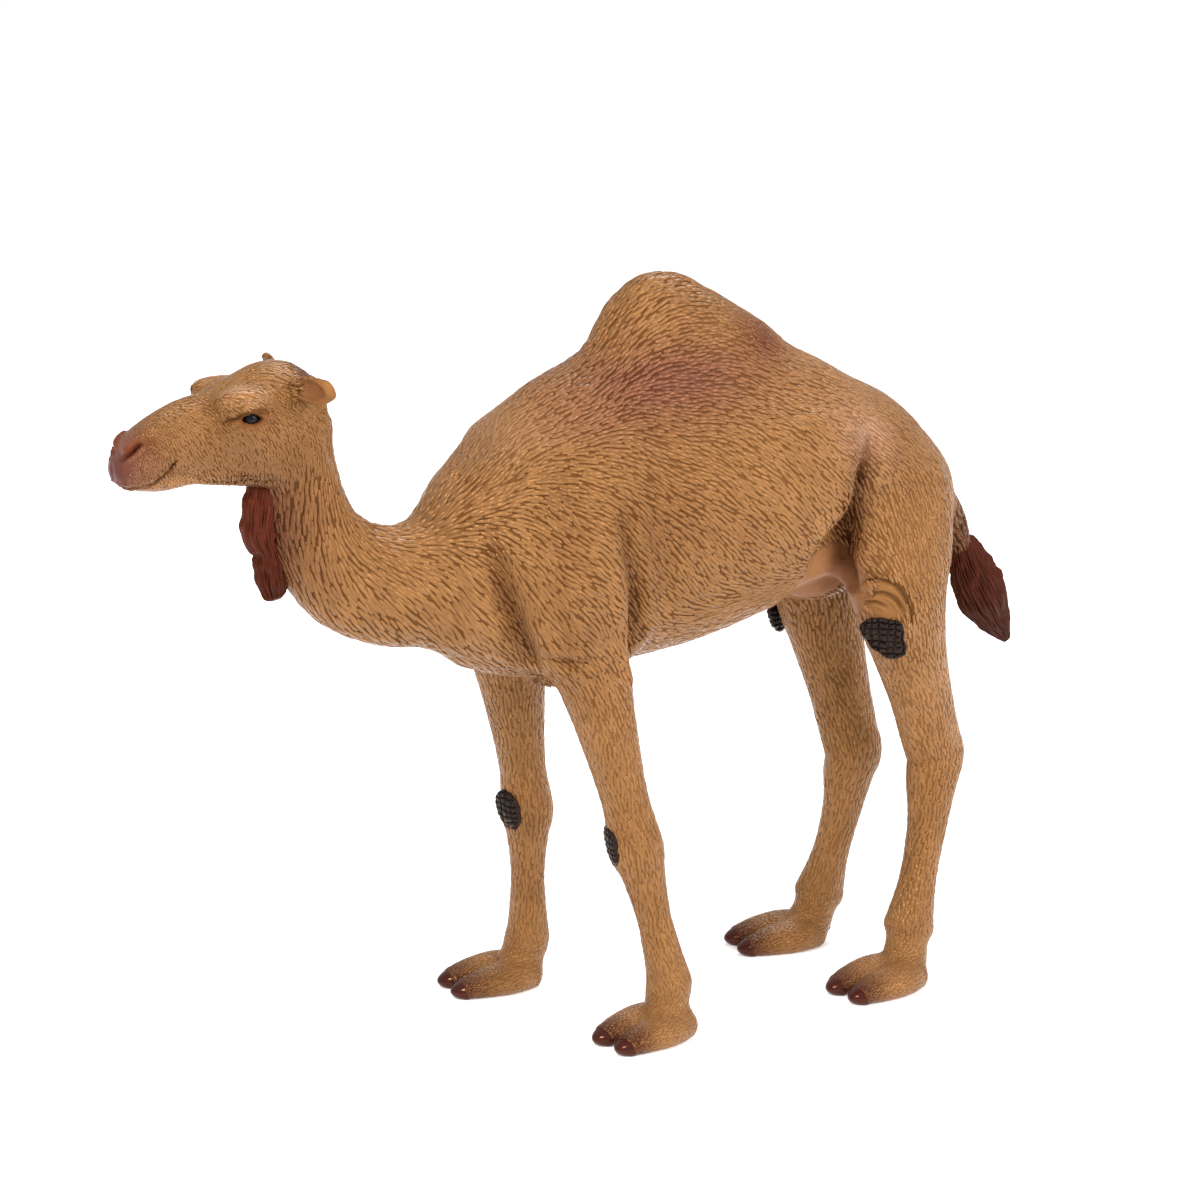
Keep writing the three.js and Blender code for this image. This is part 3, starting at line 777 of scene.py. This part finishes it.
def bare(p):
    left = folded(p)
    smooth = spotRegion(p, bareSpots) | (p[:, 2] < soleTop)
    cup = (left[:, 0] > 5.5) & (left[:, 1] > -66) & (left[:, 1] < -57) & (left[:, 2] > 91.8)
    front = p[:, 1] < -78
    for line, reach in barePaths:
        gaps = np.linalg.norm(left[front, None] - line[None], axis=2).min(1)
        smooth[front] |= gaps < reach
    return smooth | cup


def blendIn(value, start, end):
    f = np.clip((value - start) / (end - start), 0, 1)
    return f * f * (3 - 2 * f)


# Locks by the place they grow: width, length, relief, how many stand there, how dark the painted shade in
# the gaps is.
lockSizes = dict(
    body=(0.58, 2.3, 0.23, 1.0, 1.0), neck=(0.64, 2.9, 0.24, 1.1, 1.0), head=(0.38, 1.25, 0.1, 1.05, 0.8),
    crown=(0.42, 1.7, 0.09, 1.0, 0.6), muzzle=(0.3, 0.66, 0.045, 1.0, 0.45),
    legs=(0.52, 1.8, 0.1, 0.9, 0.4), feet=(0.42, 1.0, 0.05, 0.85, 0.3), rubbed=(0.5, 1.6, 0.1, 0.7, 0.4))
# the hump's rear, croup, flank, thigh and withers, where the strokes are shallow
rubbedSpots = [((4, 6, 98), (9, 9, 5)), ((4, 24, 86), (12, 10, 6)), ((12.5, 19.5, 81), (5, 4.5, 4)),
               ((14, 27, 66), (6, 8, 12)), ((3, -34, 86), (7, 8, 4))]


def lockSize(p):
    size = np.tile(lockSizes["body"], (len(p), 1))
    x, y, z = p.T
    onHead = headRegion(p)

    def region(kind, amount):
        size[:] = size + (np.array(lockSizes[kind]) - size) * np.clip(amount, 0, 1)[:, None]

    region("neck", 1 - blendIn(y, -40, -34))
    region("head", onHead * 1.0)
    region("crown", onHead * blendIn(z, 92, 95))
    region("muzzle", onHead * (1 - blendIn(y, -84, -76)))
    region("legs", 1 - blendIn(z, 44, 58))
    region("feet", 1 - blendIn(z, 6, 16))
    for centre, reach in rubbedSpots:
        region("rubbed", spread(p, centre, reach) * 1.2)
    return size


# The skin shows as the dark line between the locks, with painted shade: dull, so that only the locks catch
# the light.
skinVinyl = vinyl("satin_painted_vinyl_skin", 0.38, 0.2)
# The locks give the coat its satin sheen and its warm glints, over paint darkened at each lock's foot as
# painted shade.
coatVinyl = vinyl("satin_painted_vinyl_locks", 0.22, 0.7, valley=0.45)
# painted shade: how much red, green and blue the gaps and the folds lose
darkening = dict(gaps=(0.42, 0.51, 0.59), folds=(0.55, 0.66, 0.74))
gapShade = np.where(bare(skin), 0.0, lockSize(skin)[:, 4])[:, None]
foldShade = 1 - pressed[:, None] * darkening["folds"]
coloured(skinMesh, paint(skin) * ((1 - gapShade * darkening["gaps"]) * foldShade))
write(skinMesh, toFrame(skin))
flesh = ["trunk", "hump", "neck", "head", "tail", "sheath", "ear_left", "ear_right"]
flesh += [f"{end}_{part}_{word}" for end in ("front", "hind") for part in ("leg", "foot")
          for word, side in bothSides]
place("skin", skinMesh, skinVinyl, "tan_vinyl", *flesh)

# Combing guides on the side view: where they lie (y, z) and which way the hair runs (y, z).
combing = np.array([
    (-86, 86, 0.5, -0.85), (-83, 89.5, 0.6, -0.75), (-79, 87, 0.45, -0.9), (-75, 90.5, 0.3, -0.95),
    (-72, 87, 0.1, -1), (-66, 86, 0.05, -1), (-76, 84.5, 0.5, -0.85), (-62, 86, 0.05, -1),
    (-78, 92, 0.8, -0.3), (-73, 95.5, 1, 0.15), (-68, 97, 1, 0.1), (-63, 97, 0.95, -0.25),
    (-59, 93, 0.5, -0.85), (-65, 93, 0.85, -0.35), (-60, 84, 0, -1), (-61, 76, 0, -1),
    (-58, 69, 0.3, -0.95), (-51, 64, 0.55, -0.8), (-45, 60, 0.7, -0.7), (-56, 88, 0.2, -1),
    (-55, 80, 0.25, -0.95), (-52, 74, 0.65, -0.7), (-47, 71, 0.9, -0.35), (-42, 76, 0.85, 0.45),
    (-37, 82, 0.8, 0.6), (-40, 66, 0.65, -0.75), (-33, 72, 0.75, -0.6), (-25, 76, 0.75, -0.6),
    (-25, 66, 0.7, -0.7), (-24, 58, 0.65, -0.75), (-21, 51, 0.6, -0.8), (-34, 58, 0.6, -0.8),
    (-28, 88, 0.95, 0.1), (-10, 86, 0.9, -0.4), (-12, 77, 0.8, -0.6), (0, 80, 0.8, -0.6),
    (0, 68, 0.7, -0.7), (-10, 68, 0.65, -0.75), (0, 58, 0.9, 0.2), (0, 53, 0.95, 0.2),
    (12, 60, 0.85, 0.3), (13, 80, 0.7, -0.7), (10, 72, 0.65, -0.75), (14, 69, 0.6, -0.8),
    (-19, 95, 0.7, 0.7), (-14, 98, 0.8, 0.6), (-8, 98, 0.97, 0.2), (-5, 92, 1, -0.1),
    (2, 98, 0.9, -0.45), (8, 94, 0.85, -0.55), (-7, 104, 1, 0.05), (20, 88, 0.9, -0.4),
    (26, 84, 0.75, -0.65), (32, 78, 0.5, -0.8), (37, 68, 0.3, -0.95), (28, 68, 0.25, -0.95),
    (24, 58, 0.35, -0.95), (35, 56, 0.3, -0.95), (41, 63, 0.4, -0.9)])
guideReach = 4.5
legParting = 4


# Which way the hair runs: along the guides nearby, down the legs, forward over the feet and out
# along the ears, a little swayed, and always flat on the skin.
def lieOfHair(points, outward):
    gap = ((points[:, None, 1:] - combing[None, :, :2]) ** 2).sum(2)
    weight = np.exp(-gap / (2 * guideReach**2)) + 1e-4 / (gap + 4)
    run = np.zeros_like(points)
    run[:, 1:] = weight @ combing[:, 2:] / weight.sum(1)[:, None]
    down = 1 - blendIn(points[:, 2], 44, 56)
    for end, joints in (("front", frontJoints), ("hind", hindJoints)):
        for word, side in bothSides:
            here = (np.sign(points[:, 0]) == side) & (down > 0)
            here &= (points[:, 1] < legParting) == (end == "front")
            ahead = station(legs[f"{end}_{word}"][0], points[here])[1][:, aheadWay]
            angle = math.radians(joints[word][4][2])
            toes = np.array([math.sin(angle), -math.cos(angle), -0.35])
            low = 1 - blendIn(points[here, 2], 4, 8)
            ahead = ahead * (1 - low)[:, None] + toes * low[:, None]
            run[here] += (ahead - run[here]) * down[here, None]
    x, y, z = points.T
    onEar = (np.abs(x) > 4.6) & (z > 92.6) & (y > -64.5) & (y < -57)
    run[onEar] = np.column_stack([np.sign(x[onEar]), np.full((onEar.sum(), 2), 0.12)])
    sway = ripple(points, 9, 11) * 0.26 + ripple(points, 2.6, 12) * 0.14
    run = run + np.cross(outward, run) * sway[:, None]
    run -= outward * (run * outward).sum(1)[:, None]
    weak = np.linalg.norm(run, axis=1) < 0.05
    run[weak] = np.cross(outward[weak], (1.0, 0, 0))
    return unit(run)


print("stage: rooting the coat")
# How many roots are tried, and how close locks may stand, in shares of their width and length.
coatGrowth = dict(tries=330000, across=0.77, along=0.4)
skinMesh.calc_loop_triangles()
triangles = np.empty(len(skinMesh.loop_triangles) * 3, int)
skinMesh.loop_triangles.foreach_get("vertices", triangles)
triangles = triangles.reshape(-1, 3)


# Roots spread over the skin, more of them where locks are small, that keep their distance.
def scatterRoots(tries, across, along):
    corners = skin[triangles]
    area = np.linalg.norm(np.cross(corners[:, 1] - corners[:, 0], corners[:, 2] - corners[:, 0]), axis=1)
    size = lockSize(corners.mean(1))
    chance = area * (1 / (size[:, 0] * size[:, 1]))
    face = draw.choice(len(area), tries, p=chance / chance.sum())
    a, b = draw.random((2, tries))
    flip = a + b > 1
    a[flip], b[flip] = 1 - a[flip], 1 - b[flip]
    mix = np.stack([1 - a - b, a, b], 1)[:, :, None]
    spots = (skin[triangles[face]] * mix).sum(1)
    normals = unit((outward[triangles[face]] * mix).sum(1))
    size = lockSize(spots)
    keep = ~bare(spots) & (draw.random(tries) < size[:, 3] ** 0.5)
    spots, normals, size = spots[keep], normals[keep], size[keep]
    run = lieOfHair(spots, normals)
    beside = np.cross(normals, run)
    tree = kdtree.KDTree(len(spots))
    for k, spot in enumerate(spots):
        tree.insert(spot, k)
    tree.balance()
    taken = np.zeros(len(spots), bool)
    closed = np.zeros(len(spots), bool)
    spacing = size[:, [0, 1]] * (across, along) / np.sqrt(size[:, 3:4])
    for k in range(len(spots)):
        if closed[k]:
            continue
        taken[k] = True
        wide, long = spacing[k]
        close = np.fromiter((i for _, i, _ in tree.find_range(spots[k], long)), int)
        away = spots[close] - spots[k]
        crowded = ((away @ run[k]) / long) ** 2 + ((away @ beside[k]) / wide) ** 2 < 1
        closed[close[crowded]] = True
    shading = (foldShade[triangles[face]] * mix).sum(1)[keep]
    return spots[taken], normals[taken], run[taken], size[taken], shading[taken]


roots, rootOutward, rootRun, rootSize, rootShade = scatterRoots(**coatGrowth)
print("locks", len(roots))

# One lock is a leaf-shaped ridge. Its stations are (place along it, width, height), and its section
# (place across, height, how bright), with the edges sunk in the skin; how bright is painted shade, darker
# at the sunk edges, root and tip.
lockStations = [(0.17, 0.76, 0.72), (0.5, 1.0, 1.0), (0.83, 0.74, 0.8)]
lockSection = [(-0.55, -0.6, 0.0), (-0.39, 0.88, 1.0), (0.39, 0.88, 1.0), (0.55, -0.6, 0.0)]
lockBends = [(0.1, 0.02), (-0.1, -0.02), (0.02, 0.1), (-0.02, -0.1)]


def lockMesh(name, bend, twist):
    verts, crest = [(0, -0.52, -0.4)], [0.4]
    for along, wide, tall in lockStations:
        drift = bend * math.sin(math.pi * along) + twist * math.sin(2 * math.pi * along)
        for x, z, light in lockSection:
            verts.append((x * wide + drift, along - 0.5, z * tall if z > 0 else z))
            crest.append(light)
    verts.append((0, 0.53, -0.35))
    crest.append(0.3)
    faces = [(0, k + 1, k) for k in (1, 2, 3)] + [(0, 1, 4)]
    for r in (1, 5):
        faces += [(r + k, r + k + 1, r + k + 5, r + k + 4) for k in range(3)] + [(r + 3, r, r + 4, r + 7)]
    faces += [(13, 9 + k, 10 + k) for k in range(3)] + [(13, 12, 9)]
    mesh = bpy.data.meshes.new(name)
    mesh.from_pydata(verts, [], faces)
    attribute(mesh, "crest", "FLOAT", crest)
    attribute(mesh, "patch", "FLOAT_VECTOR", [(x, y, 0) for x, y, z in verts])
    mesh.shade_smooth()
    return bpy.data.objects.new(name, mesh)


lockSet = bpy.data.collections.new("lock_moulds")
for k, (bend, twist) in enumerate(lockBends):
    lockSet.objects.link(lockMesh(f"lock_{k}", bend, twist))


# Sets a lock on every root, turned outward and laid along the hair, then makes it all one mesh.
def layingTree():
    tree = bpy.data.node_groups.new("lay_locks", "GeometryNodeTree")
    tree.interface.new_socket("Roots", in_out="INPUT", socket_type="NodeSocketGeometry")
    tree.interface.new_socket("Coat", in_out="OUTPUT", socket_type="NodeSocketGeometry")

    def stored(name, kind="FLOAT_VECTOR"):
        made = addNode(tree, "GeometryNodeInputNamedAttribute", {"data_type": kind, "Name": name})
        return made.outputs["Attribute"]

    moulds = addNode(tree, "GeometryNodeCollectionInfo",
                     {"Separate Children": True, "Reset Children": True, "Collection": lockSet})
    standing = addNode(tree, "FunctionNodeAlignRotationToVector",
                       {"axis": "Z", "Vector": stored("outward")})
    lying = addNode(tree, "FunctionNodeAlignRotationToVector",
                    {"axis": "Y", "pivot_axis": "Z", "Rotation": standing, "Vector": stored("run")})
    spots = addNode(tree, "GeometryNodeMeshToPoints", {"Mesh": addNode(tree, "NodeGroupInput")})
    laid = addNode(tree, "GeometryNodeInstanceOnPoints",
                   {"Pick Instance": True, "Points": spots, "Instance": moulds, "Rotation": lying,
                    "Instance Index": stored("mould", "INT"), "Scale": stored("size")})
    real = addNode(tree, "GeometryNodeRealizeInstances", {"Geometry": laid})
    painted = addNode(tree, "GeometryNodeSetMaterial", {"Material": coatVinyl, "Geometry": real})
    addNode(tree, "NodeGroupOutput", {"Coat": painted})
    return tree


# An unwrap of the skin: each part of the body is rolled out flat into a cell of its own, with a
# margin round it, and each lock is a small patch at its root.
unwrapParts = [trunk, hump, neck, skull, tail] + [leg[0] for leg in legs.values()]
unwrapParts += [toe for leg in legs.values() for toe in leg[2:]] + ears
cellMargin = 0.04
patchSize = 0.003


def unrolled(points):
    closest = np.full(len(points), 1e9)
    flat = np.zeros((len(points), 2))
    grid = math.ceil(math.sqrt(len(unwrapParts)))
    for k, part in enumerate(unwrapParts):
        index = np.flatnonzero(inside(part, points))
        gap = distanceTo(part, points[index])
        where, row = station(part, points[index])
        away = points[index] - row[:, :3]
        across, upward = (away * row[:, sideWay]).sum(1), (away * row[:, upWay]).sum(1)
        turn = np.arctan2(across, upward) / (2 * math.pi) + 0.5
        better = gap < closest[index]
        cell = np.array([k % grid, k // grid])
        spot = (cell + cellMargin + (1 - 2 * cellMargin) * np.column_stack([turn, where])) / grid
        closest[index[better]] = gap[better]
        flat[index[better]] = spot[better]
    return flat


laying = layingTree()
rootPaint = paint(roots) * rootShade * (1 + 0.06 * draw.normal(size=len(roots)))[:, None]
rootFlat = unrolled(roots)
moulds = draw.integers(0, 4, len(roots))
# how much one lock differs from the next in width, length and relief
lockVariety = (0.12, 0.16, 0.22)


def layCoat(name, chosen):
    count = chosen.sum()
    mesh = bpy.data.meshes.new(name + "_roots")
    mesh.from_pydata(toFrame(roots[chosen]), [], [])
    vary = 1 + np.clip(draw.normal(size=(count, 3)), -1.5, 1.2) * lockVariety
    attribute(mesh, "outward", "FLOAT_VECTOR", rootOutward[chosen])
    attribute(mesh, "run", "FLOAT_VECTOR", rootRun[chosen])
    attribute(mesh, "size", "FLOAT_VECTOR", rootSize[chosen, :3] * vary * millimetre)
    coloured(mesh, np.clip(rootPaint[chosen], 0, 1))
    attribute(mesh, "flat", "FLOAT_VECTOR", np.column_stack([rootFlat[chosen], np.zeros(count)]))
    attribute(mesh, "mould", "INT", moulds[chosen])
    holder = stand(name, mesh)
    holder.modifiers.new("lay_locks", "NODES").node_group = laying
    bpy.context.view_layer.update()
    coat = bpy.data.meshes.new_from_object(holder.evaluated_get(bpy.context.evaluated_depsgraph_get()))
    bpy.data.objects.remove(holder)
    coat.name = name
    spots = vectors(coat.vertices, "co")
    spots[:, 2] = np.maximum(spots[:, 2], 0)
    write(coat, spots)
    corners = np.empty(len(coat.loops), int)
    coat.loops.foreach_get("vertex_index", corners)
    flat, patch = (vectors(coat.attributes[key].data, "vector")[:, :2] for key in ("flat", "patch"))
    sheet = coat.uv_layers.new(name="OFBake")
    sheet.data.foreach_set("uv", (flat + patchSize * patch)[corners].astype(np.float32).ravel())
    for spare in ("flat", "patch", "outward", "run", "size", "mould"):
        coat.attributes.remove(coat.attributes[spare])
    place(name, coat, coatVinyl, "tan_vinyl")
    print(name, count, "locks", triangleCount(coat), "triangles")


# Rings of points closed with a pole at each end.
def shell(name, rings, poles):
    rows, sides = rings.shape[:2]
    last = (rows - 1) * sides
    after = [(k + 1) % sides for k in range(sides)]
    faces = [(r + k, r + after[k], r + sides + after[k], r + sides + k)
             for r in range(0, last, sides) for k in range(sides)]
    faces += [(rows * sides, after[k], k) for k in range(sides)]
    faces += [(rows * sides + 1, last + k, last + after[k]) for k in range(sides)]
    mesh = bpy.data.meshes.new(name)
    mesh.from_pydata(toFrame(np.vstack([rings.reshape(-1, 3), poles])), [], faces)
    shape = bmesh.new()
    shape.from_mesh(mesh)
    bmesh.ops.recalc_face_normals(shape, faces=shape.faces)
    shape.to_mesh(mesh)
    shape.free()
    return mesh


def unitBall(rows, sides):
    fall = np.linspace(0, math.pi, rows + 2)[1:-1, None]
    turn = np.linspace(0, 2 * math.pi, sides, endpoint=False)[None]
    upright = np.cos(fall) * np.ones_like(turn)
    ball = np.stack([np.sin(fall) * np.cos(turn), np.sin(fall) * np.sin(turn), upright], 2)
    return ball, np.array([(0, 0, 1.0), (0, 0, -1.0)])


print("stage: eyes, nails and pads")
# The eye's black gloss gives one sharp white point of light.
wetPaint = vinyl("glossy_black_eye_paint", 0.1, 0.22, grain=0.0, subsurface=0.0, depth=0.0, glint="#ffffff")
# The nails are wet-looking and nearly black, redder than the eye.
nailPaint = vinyl("glossy_dark_nail_paint", 0.16, 0.35, subsurface=0.02)
# The pads are hard and black, with a faint cool sheen between their cracks.
padPaint = vinyl("black_horny_pad_paint", 0.2, 0.12, subsurface=0.0, glint="#fff0e4")
# The beard and the tuft are one dark clump each, with a low sheen along the strands.
hairPaint = vinyl("dark_hair_vinyl_paint", 0.27, 0.14, subsurface=0.02)

for word, side in bothSides:
    ball, ends = (part * eye["radius"] + eye["middle"] * (side, 1, 1) for part in unitBall(30, 48))
    mesh = shell("eyeball_" + word, ball, ends)
    coloured(mesh, linear("#0d0c10"))
    place("eyeball_" + word, mesh, wetPaint, "eye_vinyl", "eye_" + word)

# A nail wraps over the tip of its toe and is flat underneath, where it meets the table: its half
# sizes, how much it narrows and lowers in front, its middle on the foot, and its paint.
nailShape = dict(sizes=(2.0, 2.0, 1.5), narrow=0.28, lower=0.34, at=(2.45, -5.85, 1.0), flat=0.03,
                 colour="#3a1a19")


def nail(name, joints, side, node):
    def shaped(p):
        front = np.clip(-p[..., 1:2], 0, 1)
        slim = [1 - nailShape["narrow"] * front, np.ones_like(front), 1 - nailShape["lower"] * front]
        q = p * nailShape["sizes"] * np.concatenate(slim, -1) + np.array(nailShape["at"]) * (side, 1, 1)
        x, y = onFoot(joints, q[..., 0], q[..., 1])
        return np.stack([x, y, np.maximum(q[..., 2], nailShape["flat"])], -1)

    mesh = shell(name, *(shaped(part) for part in unitBall(22, 30)))
    coloured(mesh, linear(nailShape["colour"]))
    place(name, mesh, nailPaint, "nail_vinyl", node)


# Horny pads, cracked in rows and columns like dried mud. The outline is (angle, reach) in the pad's
# own plane, counted from the first broad axis towards the second. Axes are the thin one, then these.
kneePad = dict(
    outline=[(0, 2.2), (40, 2.9), (90, 3.3), (140, 2.8), (180, 2.3), (225, 2.6), (270, 3.1), (315, 2.7)],
    at=(-0.8, -3.4, 0.6), turn=(12, 0, -13), axes=(1, 0, 2), thick=0.85, seed=31)
stiflePad = dict(
    outline=[(0, 2.8), (43, 3.4), (75, 2.75), (109, 3.0), (155, 3.8), (193, 2.35), (254, 2.2), (285, 3.1),
             (325, 3.9)],
    at=(3.6, -4.9, -2.2), turn=(0, 0, -38), axes=(0, 1, 2), thick=0.8, seed=41)
padCracks = dict(cells=(1.1, 0.86), wobble=0.34, width=0.12, depth=0.32, rough=0.05,
                 ground="#251a17", bottom="#060404")


def hornyPad(name, joint, side, pad, node):
    tilt, roll, swing = pad["turn"]
    turn = turned((tilt, roll, side * swing))
    middle = np.array(joint) + np.array(pad["at"]) * (side, 1, 1)
    thin, first, second = pad["axes"]
    angles, reaches = np.array(pad["outline"], float).T

    def shaped(p):
        bearing = np.degrees(np.arctan2(p[..., second], p[..., first])) % 360
        reach = np.interp(bearing, np.append(angles, 360), np.append(reaches, reaches[0]))
        q = p * reach[..., None]
        height = np.abs(p[..., thin]) ** 0.6
        flat = np.stack([q[..., first].ravel(), q[..., second].ravel(), np.zeros(bearing.size)], 1)
        crack = np.zeros_like(bearing)
        for k, (axis, cell) in enumerate(zip((first, second), padCracks["cells"])):
            wobble = ripple(flat, 2.4, pad["seed"] + k).reshape(bearing.shape)
            off = np.abs(((q[..., axis] + padCracks["wobble"] * wobble) / cell) % 1 - 0.5) * cell
            crack = np.maximum(crack, bell(off, 0, padCracks["width"]))
        crack = crack * np.clip(height * 1.6, 0, 1)
        rough = ripple(flat, 0.7, pad["seed"] + 5).reshape(bearing.shape)
        thick = pad["thick"] * height - padCracks["depth"] * crack + padCracks["rough"] * rough * height
        q[..., thin] = np.sign(p[..., thin]) * thick
        return q @ turn.T + middle, crack

    ball, ends = unitBall(104, 124)
    rings, crack = shaped(ball)
    mesh = shell(name, rings, shaped(ends)[0])
    crack = np.append(crack.ravel(), (0, 0))[:, None]
    # painted shade: the cracks are painted near black, darker than the pad
    coloured(mesh, linear(padCracks["ground"]) * (1 - crack) + linear(padCracks["bottom"]) * crack)
    place(name, mesh, padPaint, "black_pad_vinyl", node)


for word, side in bothSides:
    for end, joints in (("front", frontJoints[word]), ("hind", hindJoints[word])):
        for toe, label in ((side, "outer"), (-side, "inner")):
            nail(f"nail_{end}_{word}_{label}", joints, toe, f"{end}_nail_{word}_{label}")
    hornyPad("knee_pad_" + word, frontJoints[word][2], side, kneePad, "front_pad_" + word)
    hornyPad("stifle_pad_" + word, hindJoints[word][1], side, stiflePad, "hind_pad_" + word)

print("stage: tail tuft and beard")
# Long hair moulded in one clump: its rows of (x, y, z, half width, half depth), how many strands it
# has and how deep their grooves are, how ragged its tip and how wavy its edge, dark and light.
tailTuft = dict(
    rows=[(0, 42.2, 61.8, 1.6, 2.0), (0, 43.2, 59.2, 2.3, 3.0), (0, 44.5, 56.2, 3.0, 3.9),
          (0, 46.2, 52.8, 3.2, 4.2), (0, 48.3, 49.0, 2.2, 2.9), (0, 50.2, 46.0, 0.9, 1.1),
          (0, 50.6, 45.4, 0.5, 0.6)],
    strands=14, groove=0.13, ragged=0.3, scalloped=0.03, colours=("#140706", "#58281e"), seed=5)
beard = dict(
    rows=[(0, -65.2, 82.0, 2.0, 2.6), (0, -65.7, 80.0, 2.4, 3.0), (0, -66.3, 77.0, 2.6, 2.9),
          (0, -66.4, 74.4, 2.5, 2.7), (0, -65.6, 72.4, 2.1, 2.1), (0, -65.2, 70.2, 2.4, 2.5),
          (0, -64.9, 67.6, 2.1, 2.3), (0, -64.4, 65.4, 1.2, 1.5)],
    strands=15, groove=0.09, ragged=0.25, scalloped=0.1, colours=("#260d08", "#642c1f"), seed=8)


# Rings along the clump's rows, grooved lengthwise and ragged at the tip.
def clump(name, hair, node):
    line = spline(hair["rows"], 26)
    count, sides = len(line), 240
    ahead = unit(np.gradient(line[:, :3], axis=0))
    side = np.tile((1.0, 0, 0), (count, 1))
    up = np.cross(side, ahead)
    along = np.linspace(0, 1, count)[:, None]
    turn = np.linspace(0, 2 * math.pi, sides, endpoint=False)[None]
    rng = np.random.default_rng(hair["seed"])
    depth = np.zeros((count, sides))
    strands = hair["strands"]
    for times, more, share in ((1, 0, 0.5), (2, 1, 0.7), (3, 2, 0.7), (4, 1, 0.5)):
        k = strands * times + more
        sway = rng.uniform(1.2, 2.4) * np.sin(along * rng.uniform(5, 9) + 2 * turn + rng.uniform(0, 6))
        broken = 0.6 + 0.4 * np.sin(along * rng.uniform(14, 24) + 3 * np.sin(5 * turn + rng.uniform(0, 6)))
        depth += share * broken * (0.5 - np.abs(np.sin(k * turn / 2 + sway + rng.uniform(0, 6))))
    taper = 1 - hair["ragged"] * along**3 * (0.5 + 0.5 * np.sin(strands * turn + 1.3))
    roundEnds = np.sqrt(np.clip(np.minimum(along / 0.05, (1 - along) / 0.05), 0.02, 1))
    scallop = 1 + hair["scalloped"] * np.sin(3 * turn + 26 * along) * np.sin(2 * turn - 17 * along)
    grow = (1 - hair["groove"] * depth.max() + hair["groove"] * depth) * taper * roundEnds * scallop
    across = side[:, None] * (line[:, 3:4] * np.sin(turn) * grow)[..., None]
    deep = up[:, None] * (line[:, 4:5] * np.cos(turn) * grow)[..., None]
    mesh = shell(name, line[:, None, :3] + across + deep, line[[0, -1], :3])
    # painted shade: the paint darkens down in the grooves between the strands; it also darkens towards the
    # tip
    light = (depth - depth.min()) / np.ptp(depth) * (1.15 - 0.65 * along)
    light = np.append(light.ravel(), (0.5, 0.3))[:, None]
    bottom, top = (linear(code) for code in hair["colours"])
    coloured(mesh, bottom * (1 - light) + top * light)
    place(name, mesh, hairPaint, "dark_hair_vinyl", node)


clump("tail_hair", tailTuft, "tail_tuft")
clump("throat_hair", beard, "throat_beard")

print("stage: laying the coat")
onHead = headRegion(roots)
onNeck = ~onHead & (roots[:, 1] < -38)
onLegs = ~onHead & ~onNeck & (roots[:, 2] < 52)
onBarrel = ~onHead & ~onNeck & ~onLegs
layCoat("coat_head", onHead)
layCoat("coat_neck", onNeck)
for word, half in (("left", roots[:, 0] > 0), ("right", roots[:, 0] <= 0)):
    layCoat("coat_foreleg_" + word, onLegs & half & (roots[:, 1] < legParting))
    layCoat("coat_hind_leg_" + word, onLegs & half & (roots[:, 1] >= legParting))
    layCoat("coat_shoulder_" + word, onBarrel & half & (roots[:, 1] < -4))
    layCoat("coat_flank_" + word, onBarrel & half & (roots[:, 1] >= -4))

print("stage: laying the table")
# A sweep of white paper, in metres. Its own faint light keeps it as white as the room behind it.
tableReach = 40
paperLook = {"Base Color": (0.93, 0.93, 0.93, 1), "Emission Color": (1, 1, 1, 1), "Emission Strength": 0.4,
             "Roughness": 0.9}
table = bpy.data.meshes.new("table_top")
corners = [(x * tableReach, y * tableReach, 0) for x, y in ((-1, -1), (1, -1), (1, 1), (-1, 1))]
table.from_pydata(corners, [], [(0, 1, 2, 3)])
paper = bpy.data.materials.new("white_paper_sweep")
paper.use_nodes = True
for key, value in paperLook.items():
    paper.node_tree.nodes["Principled BSDF"].inputs[key].default_value = value
table.materials.append(paper)
stand("table_top", table)
